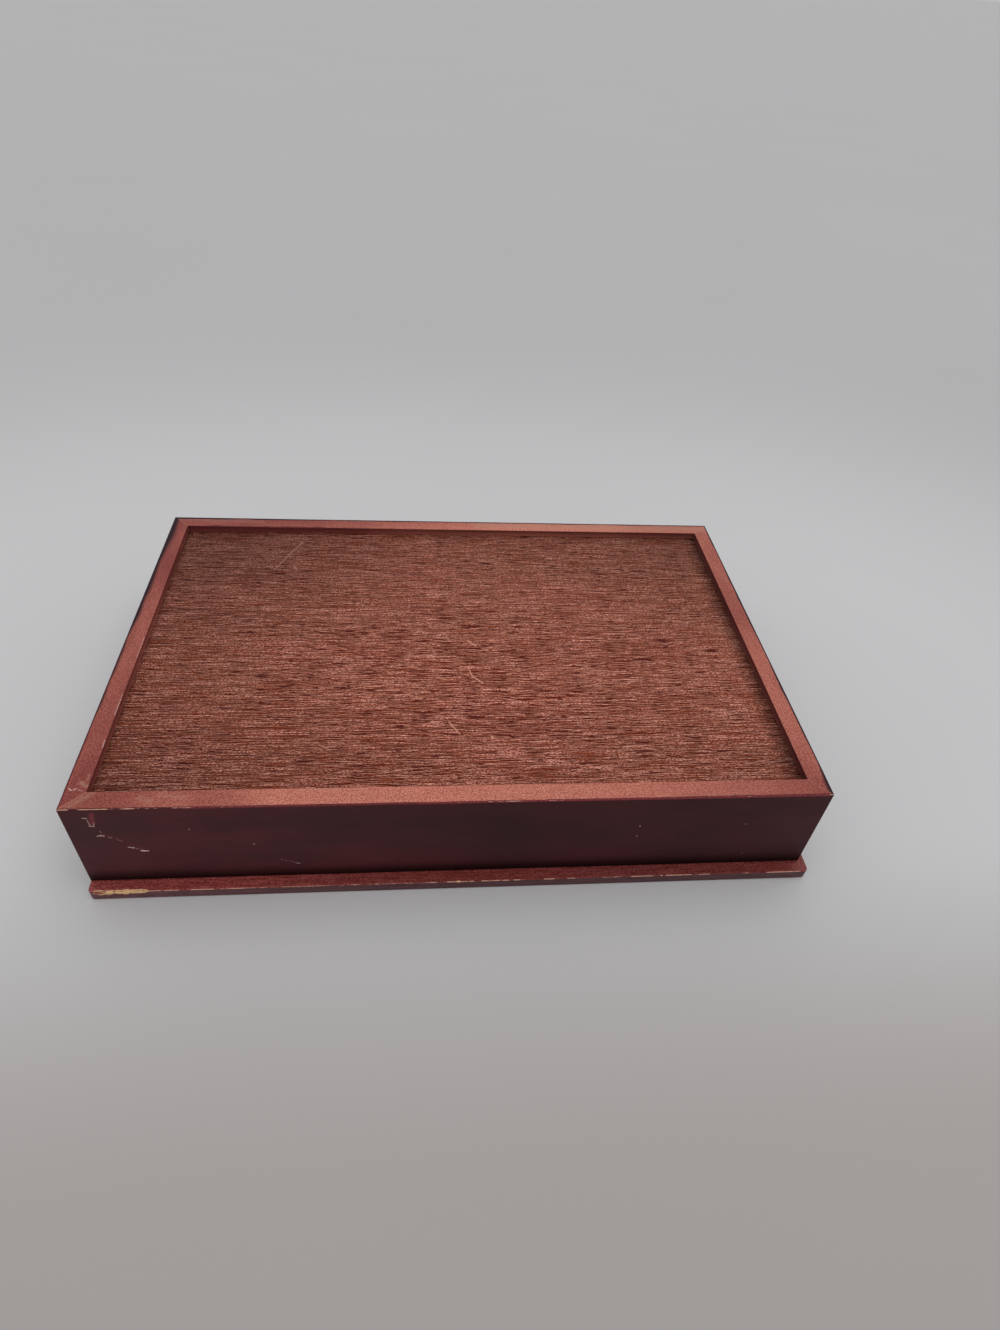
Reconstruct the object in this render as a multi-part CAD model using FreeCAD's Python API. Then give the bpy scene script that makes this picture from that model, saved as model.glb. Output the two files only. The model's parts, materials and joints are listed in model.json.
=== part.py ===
import FreeCAD, Part
import math
import os

# A keepsake box of stained wood, lying upside down on its lid.
# Four mitred walls hold a plywood bottom panel in a groove, a little below their base edges.
# A thin lid board overhangs the box and turns on two brass butt hinges let into the back.
# Frame: +Z up, +X to the right, -Y is the front. The origin is the middle of the lid's outer
# face, which is the face that the box lies on. All sizes are in millimetres.

# Box walls, measured outside. The height runs from the rim at the lid to the base edge.
BOX_LENGTH = 305.0
BOX_DEPTH = 202.0
WALL_HEIGHT = 47.4
WALL_THICKNESS = 8.5
WALL_ARRIS_RADIUS = 0.6

# Bottom panel and the groove that holds it. The recess is how far the panel lies in.
PANEL_THICKNESS = 3.0
PANEL_RECESS = 3.7
GROOVE_DEPTH = 4.0
GROOVE_FACE_CLEARANCE = 0.1
PANEL_EDGE_CLEARANCE = 0.5

# Lid board. The offset is how far it sits to the right of the box.
LID_THICKNESS = 5.0
LID_FRONT_OVERHANG = 5.5
LID_BACK_OVERHANG = 5.5
LID_SIDE_OVERHANG = 1.5
LID_OFFSET = 1.5
LID_CORNER_RADIUS = 1.6
LID_ARRIS_RADIUS = 0.7
LID_SEAM = 0.2

# Butt hinges. The inset runs from the end of the box to the middle of a hinge, the axis offset
# from the back wall's face to the pin, and the shoulder is the wood left inside each leaf.
HINGE_INSET = 45.0
HINGE_AXIS_OFFSET = 0.65
LEAF_LENGTH = 25.0
LEAF_THICKNESS = 0.8
LEAF_SHOULDER = 1.15
LEAF_GAP = 0.1
LEAF_CORNER_RADIUS = 0.6
LEAF_EDGE_CLEARANCE = 0.15
KNUCKLE_COUNT = 3
KNUCKLE_CLEARANCE = 0.2
COVE_CLEARANCE = 0.4
PIN_RADIUS = 0.75
PIN_CLEARANCE = 0.05
PIN_END_LENGTH = 0.25

# Countersunk screws, two in each leaf. The cover is the wood left under a lid screw's tip.
SCREW_SPACING = 15.0
SCREW_HEAD_RADIUS = 1.7
SCREW_SHANK_RADIUS = 0.9
SCREW_CLEARANCE = 0.05
SCREW_TIP_LENGTH = 1.0
SCREW_SLOT_WIDTH = 0.5
SCREW_SLOT_DEPTH = 0.4
WALL_SCREW_LENGTH = 9.5
LID_SCREW_COVER = 1.0

# How far a cutting shape runs past the faces that it cuts.
OVERRUN = 1.0

# Levels and places that follow from the sizes above.
RIM_Z = LID_THICKNESS + LID_SEAM
BASE_Z = RIM_Z + WALL_HEIGHT
PANEL_OUTER_Z = BASE_Z - PANEL_RECESS
PANEL_INNER_Z = PANEL_OUTER_Z - PANEL_THICKNESS
LID_LENGTH = BOX_LENGTH + 2 * LID_SIDE_OVERHANG
LID_DEPTH = BOX_DEPTH + LID_FRONT_OVERHANG + LID_BACK_OVERHANG
BOX_X = -LID_OFFSET
BOX_Y = (LID_FRONT_OVERHANG - LID_BACK_OVERHANG) / 2
AXIS_Y = BOX_Y + BOX_DEPTH / 2 + HINGE_AXIS_OFFSET
AXIS_Z = LID_THICKNESS + LID_SEAM / 2
LEAF_WIDTH = HINGE_AXIS_OFFSET + WALL_THICKNESS - LEAF_SHOULDER
LEAF_NEAR = LEAF_GAP / 2
LEAF_FAR = LEAF_NEAR + LEAF_THICKNESS
KNUCKLE_RADIUS = PIN_RADIUS + PIN_CLEARANCE + LEAF_THICKNESS
SCREW_FROM_AXIS = (LEAF_WIDTH + KNUCKLE_RADIUS) / 2
LID_SCREW_LENGTH = AXIS_Z - LEAF_NEAR - LID_SCREW_COVER
HINGE_PLACES = {
    "left": BOX_X - BOX_LENGTH / 2 + HINGE_INSET,
    "right": BOX_X + BOX_LENGTH / 2 - HINGE_INSET,
}

# A leaf in the wall lies above the seam, a leaf in the lid below it.
IN_WALL = 1
IN_LID = -1

ORIGIN = FreeCAD.Vector(0, 0, 0)
X_AXIS = FreeCAD.Vector(1, 0, 0)
Z_AXIS = FreeCAD.Vector(0, 0, 1)
FULL_TURN = 360
DIAGONAL_SHARE = math.sqrt(0.5)


def point(x, y, z):
    return FreeCAD.Vector(x, y, z)


def line(start, end):
    return Part.LineSegment(start, end).toShape()


def arc(start, middle, end):
    return Part.Arc(start, middle, end).toShape()


def outline(points):
    """Straight edges from each point to the next."""
    return [line(a, b) for a, b in zip(points, points[1:])]


def filled(edges):
    return Part.Face(Part.Wire(edges))


def block(low, high):
    """A box between two corners."""
    size = high - low
    return Part.makeBox(size.x, size.y, size.z, low)


def axis_rod(radius, x_low, x_high):
    """A cylinder about the hinge axis."""
    return Part.makeCylinder(radius, x_high - x_low, point(x_low, AXIS_Y, AXIS_Z), X_AXIS)


def wall_section():
    """The wall cut across: +Y runs inwards from the outer face, past the panel's groove."""
    groove_y = WALL_THICKNESS - GROOVE_DEPTH
    groove_low = PANEL_INNER_Z - GROOVE_FACE_CLEARANCE
    groove_high = PANEL_OUTER_Z + GROOVE_FACE_CLEARANCE
    corners = [
        point(0, 0, BASE_Z - WALL_ARRIS_RADIUS),
        point(0, 0, RIM_Z),
        point(0, WALL_THICKNESS, RIM_Z),
        point(0, WALL_THICKNESS, groove_low),
        point(0, groove_y, groove_low),
        point(0, groove_y, groove_high),
        point(0, WALL_THICKNESS, groove_high),
        point(0, WALL_THICKNESS, BASE_Z),
        point(0, WALL_ARRIS_RADIUS, BASE_Z),
    ]
    eased = WALL_ARRIS_RADIUS * (1 - DIAGONAL_SHARE)
    arris = arc(corners[-1], point(0, eased, BASE_Z - eased), corners[0])
    return filled(outline(corners) + [arris])


def mitre_plan(length):
    """The wall seen from above: mitred ends that meet the next wall, and eased outer corners."""
    half = length / 2
    eighth_turn = math.pi / 4
    ease = WALL_ARRIS_RADIUS

    def eased_end(side):
        """The outer corner, from the face to the mitre, then the mitre's inner end."""
        centre = point(side * (half - ease), ease, RIM_Z)

        def on_round(turn):
            return centre + point(side * math.sin(turn), -math.cos(turn), 0) * ease

        inner = point(side * (half - WALL_THICKNESS), WALL_THICKNESS, RIM_Z)
        return on_round(0), on_round(eighth_turn / 2), on_round(eighth_turn), inner

    left_face, left_round, left_mitre, left_inner = eased_end(-1)
    right_face, right_round, right_mitre, right_inner = eased_end(1)
    return filled(
        [line(left_face, right_face), arc(right_face, right_round, right_mitre)]
        + outline([right_mitre, right_inner, left_inner, left_mitre])
        + [arc(left_mitre, left_round, left_face)]
    )


def mitred_wall(length, turn, outer_distance):
    """One wall: its section run along its length, cut to the mitred plan, on its side of the box."""
    section = wall_section()
    section.translate(point(-length / 2, 0, 0))
    board = section.extrude(X_AXIS * length)
    wall = board.common(mitre_plan(length).extrude(Z_AXIS * WALL_HEIGHT))
    wall.translate(point(0, -outer_distance, 0))
    wall.rotate(ORIGIN, Z_AXIS, turn)
    wall.translate(point(BOX_X, BOX_Y, 0))
    return wall


def bottom_panel():
    """The plywood sheet, which runs into the groove on all four sides."""
    into_groove = GROOVE_DEPTH - PANEL_EDGE_CLEARANCE - WALL_THICKNESS
    half = point(BOX_LENGTH / 2 + into_groove, BOX_DEPTH / 2 + into_groove, 0)
    middle = point(BOX_X, BOX_Y, 0)
    return block(middle - half + Z_AXIS * PANEL_INNER_Z, middle + half + Z_AXIS * PANEL_OUTER_Z)


def screw_places(hinge_x):
    y = AXIS_Y - SCREW_FROM_AXIS
    return [(hinge_x + side * SCREW_SPACING / 2, y) for side in (-1, 1)]


def hinge_recess(hinge_x, way, screw_length):
    """The wood cut away for a leaf, for the barrel and for the screws of one hinge."""
    half = LEAF_LENGTH / 2 + LEAF_EDGE_CLEARANCE
    levels = sorted((AXIS_Z, AXIS_Z + way * LEAF_FAR))
    gain = block(
        point(hinge_x - half, AXIS_Y - LEAF_WIDTH - LEAF_EDGE_CLEARANCE, levels[0]),
        point(hinge_x + half, AXIS_Y, levels[1]),
    )
    end = LEAF_LENGTH / 2 + PIN_END_LENGTH + COVE_CLEARANCE
    cove = axis_rod(KNUCKLE_RADIUS + COVE_CLEARANCE, hinge_x - end, hinge_x + end)
    pilot_radius = SCREW_SHANK_RADIUS + SCREW_CLEARANCE
    pilots = [
        Part.makeCylinder(pilot_radius, screw_length, point(x, y, AXIS_Z + way * LEAF_NEAR), Z_AXIS * way)
        for x, y in screw_places(hinge_x)
    ]
    return gain.fuse([cove] + pilots)


def lid_panel():
    """The lid board, with rounded corners, eased edges and a recess for each hinge."""
    sheet = Part.makePlane(LID_LENGTH, LID_DEPTH, point(-LID_LENGTH / 2, -LID_DEPTH / 2, 0))
    board = sheet.extrude(Z_AXIS * LID_THICKNESS)
    corners = [e for e in board.Edges if abs(e.tangentAt(e.FirstParameter).z) > DIAGONAL_SHARE]
    board = board.makeFillet(LID_CORNER_RADIUS, corners)
    arrises = [e for e in board.Edges if e.BoundBox.ZLength < LID_ARRIS_RADIUS]
    board = board.makeFillet(LID_ARRIS_RADIUS, arrises)
    for hinge_x in HINGE_PLACES.values():
        board = board.cut(hinge_recess(hinge_x, IN_LID, LID_SCREW_LENGTH))
    return board


def back_wall():
    """The fourth wall, whose rim takes the hinges."""
    wall = mitred_wall(BOX_LENGTH, FULL_TURN / 2, BOX_DEPTH / 2)
    for hinge_x in HINGE_PLACES.values():
        wall = wall.cut(hinge_recess(hinge_x, IN_WALL, WALL_SCREW_LENGTH))
    return wall


def leaf_section(x, way):
    """A leaf cut across: the flat plate runs into the round of its knuckles."""

    def at(y, z):
        return point(x, AXIS_Y + y, AXIS_Z + way * z)

    near_y = -math.sqrt(KNUCKLE_RADIUS**2 - LEAF_NEAR**2)
    far_y = -math.sqrt(KNUCKLE_RADIUS**2 - LEAF_FAR**2)
    plate = [
        at(far_y, LEAF_FAR),
        at(-LEAF_WIDTH, LEAF_FAR),
        at(-LEAF_WIDTH, LEAF_NEAR),
        at(near_y, LEAF_NEAR),
    ]
    return filled(outline(plate) + [arc(plate[-1], at(KNUCKLE_RADIUS, 0), plate[0])])


def knuckle_spans(hinge_x, first):
    """The two ends of every second knuckle along the barrel, from the one numbered first."""
    pitch = LEAF_LENGTH / KNUCKLE_COUNT
    start = hinge_x - LEAF_LENGTH / 2
    return [(start + n * pitch, start + (n + 1) * pitch) for n in range(first, KNUCKLE_COUNT, 2)]


def countersink(x, y, way):
    return Part.makeCone(
        SCREW_HEAD_RADIUS + SCREW_CLEARANCE,
        SCREW_SHANK_RADIUS + SCREW_CLEARANCE,
        LEAF_THICKNESS,
        point(x, y, AXIS_Z + way * LEAF_NEAR),
        Z_AXIS * way,
    )


def hinge_leaf(hinge_x, way, gaps_from):
    """A leaf with its own knuckles, and room between them for the knuckles of the other leaf."""
    low = hinge_x - LEAF_LENGTH / 2
    high = hinge_x + LEAF_LENGTH / 2
    leaf = leaf_section(low, way).extrude(X_AXIS * LEAF_LENGTH)
    free_edge_y = AXIS_Y - LEAF_WIDTH
    corners = [
        e
        for e in leaf.Edges
        if e.BoundBox.XLength < LEAF_NEAR and abs(e.CenterOfMass.y - free_edge_y) < LEAF_NEAR
    ]
    leaf = leaf.makeFillet(LEAF_CORNER_RADIUS, corners)
    cuts = [axis_rod(PIN_RADIUS + PIN_CLEARANCE, low - OVERRUN, high + OVERRUN)]
    room = KNUCKLE_CLEARANCE / 2
    for start, end in knuckle_spans(hinge_x, gaps_from):
        cuts.append(axis_rod(KNUCKLE_RADIUS + KNUCKLE_CLEARANCE, start - room, end + room))
    cuts += [countersink(x, y, way) for x, y in screw_places(hinge_x)]
    for tool in cuts:
        leaf = leaf.cut(tool)
    return leaf


def hinge_pin(hinge_x):
    """The pin, with its ends bevelled just outside the barrel."""
    end = LEAF_LENGTH / 2 + PIN_END_LENGTH
    pin = axis_rod(PIN_RADIUS, hinge_x - end, hinge_x + end)
    rims = [e for e in pin.Edges if e.BoundBox.XLength < PIN_END_LENGTH]
    return pin.makeChamfer(PIN_END_LENGTH, rims)


def countersunk_screw(x, y, way, length):
    """A slotted wood screw whose head is flush with the near face of its leaf."""
    half_section = [
        point(0, 0, 0),
        point(SCREW_HEAD_RADIUS, 0, 0),
        point(SCREW_SHANK_RADIUS, 0, LEAF_THICKNESS),
        point(SCREW_SHANK_RADIUS, 0, length - SCREW_TIP_LENGTH),
        point(0, 0, length),
        point(0, 0, 0),
    ]
    screw = filled(outline(half_section)).revolve(ORIGIN, Z_AXIS, FULL_TURN)
    slot = block(
        point(-SCREW_HEAD_RADIUS, -SCREW_SLOT_WIDTH / 2, -OVERRUN),
        point(SCREW_HEAD_RADIUS, SCREW_SLOT_WIDTH / 2, SCREW_SLOT_DEPTH),
    )
    screw = screw.cut(slot)
    if way == IN_LID:
        screw.rotate(ORIGIN, X_AXIS, FULL_TURN / 2)
    screw.translate(point(x, y, AXIS_Z + way * LEAF_NEAR))
    return screw


def hinge_screws(hinge_x, way, length):
    return Part.makeCompound([countersunk_screw(x, y, way, length) for x, y in screw_places(hinge_x)])


def build_parts():
    """Every piece of the box, by its name."""
    quarter = FULL_TURN / 4
    parts = {
        "front_wall": mitred_wall(BOX_LENGTH, 0, BOX_DEPTH / 2),
        "right_wall": mitred_wall(BOX_DEPTH, quarter, BOX_LENGTH / 2),
        "back_wall": back_wall(),
        "left_wall": mitred_wall(BOX_DEPTH, -quarter, BOX_LENGTH / 2),
        "bottom_panel": bottom_panel(),
        "lid_panel": lid_panel(),
    }
    for side, hinge_x in HINGE_PLACES.items():
        parts[side + "_hinge_wall_leaf"] = hinge_leaf(hinge_x, IN_WALL, 1)
        parts[side + "_hinge_lid_leaf"] = hinge_leaf(hinge_x, IN_LID, 0)
        parts[side + "_hinge_pin"] = hinge_pin(hinge_x)
        parts[side + "_hinge_wall_screws"] = hinge_screws(hinge_x, IN_WALL, WALL_SCREW_LENGTH)
        parts[side + "_hinge_lid_screws"] = hinge_screws(hinge_x, IN_LID, LID_SCREW_LENGTH)
    return parts


def write_parts(parts):
    os.makedirs("parts", exist_ok=True)
    for name, shape in parts.items():
        solids = shape.Solids
        if not solids or not shape.isValid():
            raise ValueError(name + " is not a valid solid")
        kept = solids[0] if len(solids) == 1 else Part.makeCompound(solids)
        kept.exportStep(os.path.join("parts", name + ".step"))
        print(name, len(solids), "solid(s)", round(shape.Volume, 2), "mm3")


write_parts(build_parts())
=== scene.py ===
"""Keepsake box of stained wood, upside down on its lid: worn boards, finishes, stage and camera."""
import json
import math

import bmesh
import bpy
import numpy as np
from bpy.props import FloatProperty, FloatVectorProperty, IntProperty, PointerProperty
from mathutils import Matrix, Vector, noise


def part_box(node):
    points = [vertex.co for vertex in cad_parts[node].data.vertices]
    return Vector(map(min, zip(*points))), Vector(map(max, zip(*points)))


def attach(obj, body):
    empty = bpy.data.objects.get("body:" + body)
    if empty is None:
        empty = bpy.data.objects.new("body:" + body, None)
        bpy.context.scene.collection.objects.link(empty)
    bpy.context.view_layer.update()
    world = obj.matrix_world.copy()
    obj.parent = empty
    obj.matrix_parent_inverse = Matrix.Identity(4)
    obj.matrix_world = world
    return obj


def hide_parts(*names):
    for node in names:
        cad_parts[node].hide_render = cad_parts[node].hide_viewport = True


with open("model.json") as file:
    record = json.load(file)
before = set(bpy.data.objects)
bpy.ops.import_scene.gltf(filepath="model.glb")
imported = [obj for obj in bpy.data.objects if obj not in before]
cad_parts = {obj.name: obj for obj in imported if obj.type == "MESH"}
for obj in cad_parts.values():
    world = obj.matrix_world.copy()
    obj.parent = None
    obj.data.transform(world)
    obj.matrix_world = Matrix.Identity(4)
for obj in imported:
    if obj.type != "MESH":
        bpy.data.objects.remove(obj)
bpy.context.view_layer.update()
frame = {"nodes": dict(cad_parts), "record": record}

bl_info = {
    "name": "Keepsake Box",
    "version": (1, 0, 0),
    "blender": (4, 5, 0),
    "location": "View3D > Sidebar > Keepsake Box",
    "description": "Builds the worn boards, hinges and finishes of an upturned wooden keepsake box",
    "category": "Object",
}

MM = 0.001

# Sizes and places that follow the frame
WALL_NODES = ("front_wall", "right_wall", "back_wall", "left_wall")
BOX_LOW = Vector((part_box("left_wall")[0].x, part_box("front_wall")[0].y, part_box("front_wall")[0].z))
BOX_HIGH = Vector((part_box("right_wall")[1].x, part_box("back_wall")[1].y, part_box("front_wall")[1].z))
WALL_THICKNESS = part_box("front_wall")[1].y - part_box("front_wall")[0].y
SHEET_LOW, SHEET_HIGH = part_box("bottom_panel")
LID_LOW, LID_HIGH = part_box("lid_panel")
HINGE_SIDES = ("left", "right")
HINGE_AXIS = Vector(frame["record"]["behaviour"]["joints"][0]["pos_m"])


def srgb(red, green, blue):
    """A colour given in screen levels, 0 to 255, as scene-linear red, green and blue."""
    shares = (level / 255 for level in (red, green, blue))
    return tuple(s / 12.92 if s <= 0.04045 else ((s + 0.055) / 1.055) ** 2.4 for s in shares)


def length_value(name, description, default):
    """A length that the user can change."""
    return FloatProperty(name=name, description=description, default=default, min=0.0,
                         precision=5, subtype="DISTANCE", unit="LENGTH")


def colour_value(name, description, default):
    """A colour that the user can change."""
    return FloatVectorProperty(name=name, description=description, default=default, size=3,
                               min=0.0, max=1.0, subtype="COLOR")


def angle_value(name, description, degrees):
    """An angle that the user can change."""
    return FloatProperty(name=name, description=description, default=math.radians(degrees),
                         subtype="ANGLE", unit="ROTATION")


def strength_value(name, description, default):
    """A strength of light that the user can change."""
    return FloatProperty(name=name, description=description, default=default, min=0.0)


class KeepsakeSizes(bpy.types.PropertyGroup):
    """Sizes of the wear, the grain and the small hardware."""

    station_step: length_value("Station step", "Spacing of the cross-sections along a board", 0.6 * MM)
    corner_radius: length_value("Corner radius", "Easing of the upright corners of the walls", 0.4 * MM)
    outer_arris: length_value("Outer arris", "Easing of the outer edge of the walls' base", 0.35 * MM)
    inner_arris: length_value("Inner arris", "Easing of the inner edge of the walls' base", 0.3 * MM)
    rim_arris: length_value("Rim arris", "Easing of the walls' edges at the lid", 0.4 * MM)
    wear_depth: length_value("Wear depth", "Wood lost where an edge is worn", 0.22 * MM)
    groove_depth: length_value("Groove depth", "Depth of the groove that holds the bottom sheet", 4.0 * MM)
    groove_clearance: length_value("Groove clearance", "Room above and below the sheet in its groove",
                                   0.1 * MM)
    lid_corner: length_value("Lid corner", "Rounding of the lid's corners in plan", 2.3 * MM)
    lid_arris: length_value("Lid arris", "Easing of the lid's edges", 0.45 * MM)
    pore_depth: length_value("Pore depth", "Depth of the open pores of the bottom sheet", 0.05 * MM)
    pore_length: length_value("Pore length", "Length of a pore along the grain", 12.0 * MM)
    pore_width: length_value("Pore width", "Width of a pore across the grain", 0.46 * MM)
    fibre_height: length_value("Fibre height", "Rise and fall of the sheet's fibres", 0.02 * MM)
    leaf_thickness: length_value("Leaf thickness", "Thickness of a hinge leaf", 0.8 * MM)
    leaf_gap: length_value("Leaf gap", "Gap between the two leaves of a shut hinge", 0.1 * MM)
    leaf_clearance: length_value("Leaf clearance", "Room round a leaf let into the wood", 0.15 * MM)
    cove_clearance: length_value("Cove clearance", "Room round the barrel of a hinge", 0.4 * MM)
    screw_slot: length_value("Screw slot", "Width of the slot in a screw head", 0.5 * MM)
    screw_slot_depth: length_value("Slot depth", "Depth of the slot in a screw head", 0.4 * MM)
    screw_shank: length_value("Screw shank", "Radius of a screw's shank", 0.9 * MM)
    thread_pitch: length_value("Thread pitch", "Rise of a screw's thread in one turn", 0.8 * MM)


class KeepsakeColours(bpy.types.PropertyGroup):
    """Colours of the stain, the bare wood and the brass."""

    wall_dark: colour_value("Wall, dark", "Dark places in the finish of the walls", srgb(69, 33, 38))
    wall_red: colour_value("Wall, red", "Red places in the finish of the walls", srgb(89, 38, 43))
    base_light: colour_value("Base edge, light", "Rubbed places on the base edges", srgb(212, 130, 110))
    base_deep: colour_value("Base edge, deep", "Deeper stain on the base edges", srgb(146, 72, 66))
    lid_dark: colour_value("Lid, dark", "Finish of the lid's edges and outer face", srgb(99, 58, 63))
    lid_red: colour_value("Lid, red", "Finish of the lid's inner face", srgb(144, 65, 60))
    sheet_red: colour_value("Sheet, red", "Redder patches of the bottom sheet", srgb(170, 96, 78))
    sheet_brown: colour_value("Sheet, brown", "Browner patches of the bottom sheet", srgb(162, 94, 75))
    # Pale colour of the painted highlight beside each pore, and of the scratches in the sheet
    sheet_fibre: colour_value("Sheet, fibre", "Raised fibres of the bottom sheet", srgb(224, 158, 132))
    sheet_pore: colour_value("Sheet, pore", "Stain gathered in the pores", srgb(84, 10, 2))
    bare_wood: colour_value("Bare wood", "Wood where the finish is gone", srgb(254, 206, 152))
    worn_tan: colour_value("Worn arris", "Thin worn line along an arris", srgb(226, 172, 146))
    edge_dark: colour_value("Dark arris", "Dark line along an outer arris", srgb(37, 18, 29))
    scuff_pink: colour_value("Scuff", "Light scuffs in the finish", srgb(252, 212, 206))
    scuff_red: colour_value("Blush", "Places where the dark finish is rubbed thin", srgb(158, 66, 72))
    rub_grey: colour_value("Rub", "Dull rubbed places on the base edges", srgb(196, 148, 126))
    brass: colour_value("Brass", "Clean brass", srgb(208, 168, 92))
    tarnish: colour_value("Tarnish", "Tarnished brass", srgb(116, 86, 46))


class KeepsakeStage(bpy.types.PropertyGroup):
    """Floor, lights and camera."""

    floor: colour_value("Floor", "Colour of the floor", srgb(222, 222, 224))
    floor_size: length_value("Floor size", "Side of the floor", 40.0)
    air_front: strength_value("Front air", "Strength of the soft light from the front", 0.3)
    air_back: strength_value("Back air", "Strength of the soft light from behind", 0.55)
    air_seen: strength_value("Seen air", "How bright the air past the floor looks", 0.5)
    key_strength: strength_value("Key light", "Strength of the broad light above the box", 0.85)
    key_width: angle_value("Key width", "How wide the broad light is, seen from the box", 65)
    eye: FloatVectorProperty(name="Camera place", description="Where the camera stands", size=3,
                             default=(-19.77 * MM, -294.52 * MM, 303.57 * MM), precision=5,
                             subtype="TRANSLATION", unit="LENGTH")
    eye_down: angle_value("Camera down", "How far the camera looks down", 42.32)
    eye_right: angle_value("Camera right", "How far the camera looks to the right", 8.003)
    eye_roll: angle_value("Camera roll", "How far the camera is rolled", 5.28)
    eye_lens: FloatProperty(name="Lens", description="Focal length in millimetres on a 36 mm frame",
                            default=21.582)
    seed: IntProperty(name="Seed", description="Seed of the screws' turns", default=7)


# Node helpers, for shader and geometry trees alike

def add_node(tree, kind, inputs=None, **settings):
    """Adds a node, with its settings, and links or sets its inputs by name or number."""
    node = tree.nodes.new(kind)
    for name, value in settings.items():
        setattr(node, name, value)
    for key, value in (inputs or {}).items():
        if isinstance(value, bpy.types.NodeSocket):
            tree.links.new(value, node.inputs[key])
        else:
            node.inputs[key].default_value = value
    return node


def maths(tree, operation, *values):
    """The result of a Math node."""
    return add_node(tree, "ShaderNodeMath", dict(enumerate(values)), operation=operation).outputs[0]


def times(tree, first, second):
    """The product of two values."""
    return maths(tree, "MULTIPLY", first, second)


def plus(tree, first, second):
    """The sum of two values."""
    return maths(tree, "ADD", first, second)


def minus(tree, first, second):
    """The first value less the second."""
    return maths(tree, "SUBTRACT", first, second)


def vector_node(tree, operation, values):
    """A Vector Math node with its inputs in order."""
    return add_node(tree, "ShaderNodeVectorMath", dict(enumerate(values)), operation=operation)


def vector_maths(tree, operation, *values):
    """The vector that a Vector Math node gives."""
    return vector_node(tree, operation, values).outputs["Vector"]


def vector_measure(tree, operation, *values):
    """The number that a Vector Math node gives."""
    return vector_node(tree, operation, values).outputs["Value"]


def vector(tree, x=0.0, y=0.0, z=0.0):
    """A vector from its three values."""
    return add_node(tree, "ShaderNodeCombineXYZ", {"X": x, "Y": y, "Z": z}).outputs[0]


def axes_of(tree, place):
    """The X, Y and Z of a place."""
    return add_node(tree, "ShaderNodeSeparateXYZ", {0: place}).outputs


def ramp(tree, value, low, high, start=0.0, end=1.0):
    """A smooth step from start to end as the value goes from low to high."""
    inputs = {"Value": value, "From Min": low, "From Max": high, "To Min": start, "To Max": end}
    return add_node(tree, "ShaderNodeMapRange", inputs, interpolation_type="SMOOTHSTEP").outputs["Result"]


def noise_value(tree, place, detail=2.0, roughness=0.5):
    """Soft noise whose cells are one unit of the place across."""
    inputs = {"Vector": place, "Scale": 1.0, "Detail": detail, "Roughness": roughness}
    return add_node(tree, "ShaderNodeTexNoise", inputs).outputs[0]


def cells(tree, place, along, across, deep):
    """A place counted in cells of the given sizes."""
    return vector_maths(tree, "MULTIPLY", place, (1 / along, 1 / across, 1 / deep))


def stretched(tree, place, along, across):
    """A place counted in cells of the sizes that two sockets give, along the grain and across it."""
    along, across = (maths(tree, "DIVIDE", 1.0, size) for size in (along, across))
    return vector_maths(tree, "MULTIPLY", place, vector(tree, along, across, across))


def mix(tree, factor, first, second, blend="MIX"):
    """Two colours mixed by a factor."""
    node = add_node(tree, "ShaderNodeMix", {0: factor, 6: colour(first), 7: colour(second)},
                    data_type="RGBA", blend_type=blend)
    return node.outputs[2]


def toned(tree, shade, tone):
    """A colour made lighter or darker by a tone."""
    return mix(tree, 1.0, shade, tone, "MULTIPLY")


def colour(value):
    """A colour for a socket: links stay as they are, plain colours get their alpha."""
    return value if isinstance(value, bpy.types.NodeSocket) else (*value, 1.0)


def attribute(tree, name, output="Fac"):
    """A value stored on the mesh."""
    return add_node(tree, "ShaderNodeAttribute", attribute_name=name).outputs[output]


def grey(tree, level):
    """A grey of the given level."""
    return vector(tree, level, level, level)


def object_place(tree):
    """The place on the piece, in metres of the shared frame."""
    return add_node(tree, "ShaderNodeTexCoord").outputs["Object"]


# Shared shader groups

VECTOR, NUMBER, COLOUR = "NodeSocketVector", "NodeSocketFloat", "NodeSocketColor"
GRAIN_KINDS = ("Fibre", "Patch", "Speckle")
# Cells of the noise in marks, worn edges and tarnish: along, across and deep
SCUFF_CELLS = (0.8 * MM, 0.5 * MM, 0.5 * MM)
WORN_CELLS = (1.8 * MM, 0.4 * MM, 0.4 * MM)
TARNISH_CELLS = (3 * MM, 3 * MM, 3 * MM)
RUBBING_CELLS = (6 * MM, 0.12 * MM, 0.12 * MM)


def new_group(name, inputs, outputs):
    """An empty shader group with sockets of the given names and kinds, and what its two end nodes hold."""
    group = bpy.data.node_groups.new(name, "ShaderNodeTree")
    for way, sockets in (("INPUT", inputs), ("OUTPUT", outputs)):
        for label, kind in sockets.items():
            group.interface.new_socket(label, in_out=way, socket_type=kind)
    return group, group.nodes.new("NodeGroupInput").outputs, group.nodes.new("NodeGroupOutput").inputs


def close_group(group, ends, **results):
    """Links results to a group's outputs of the same names."""
    for label, socket in results.items():
        group.links.new(socket, ends[label])
    return group


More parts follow.
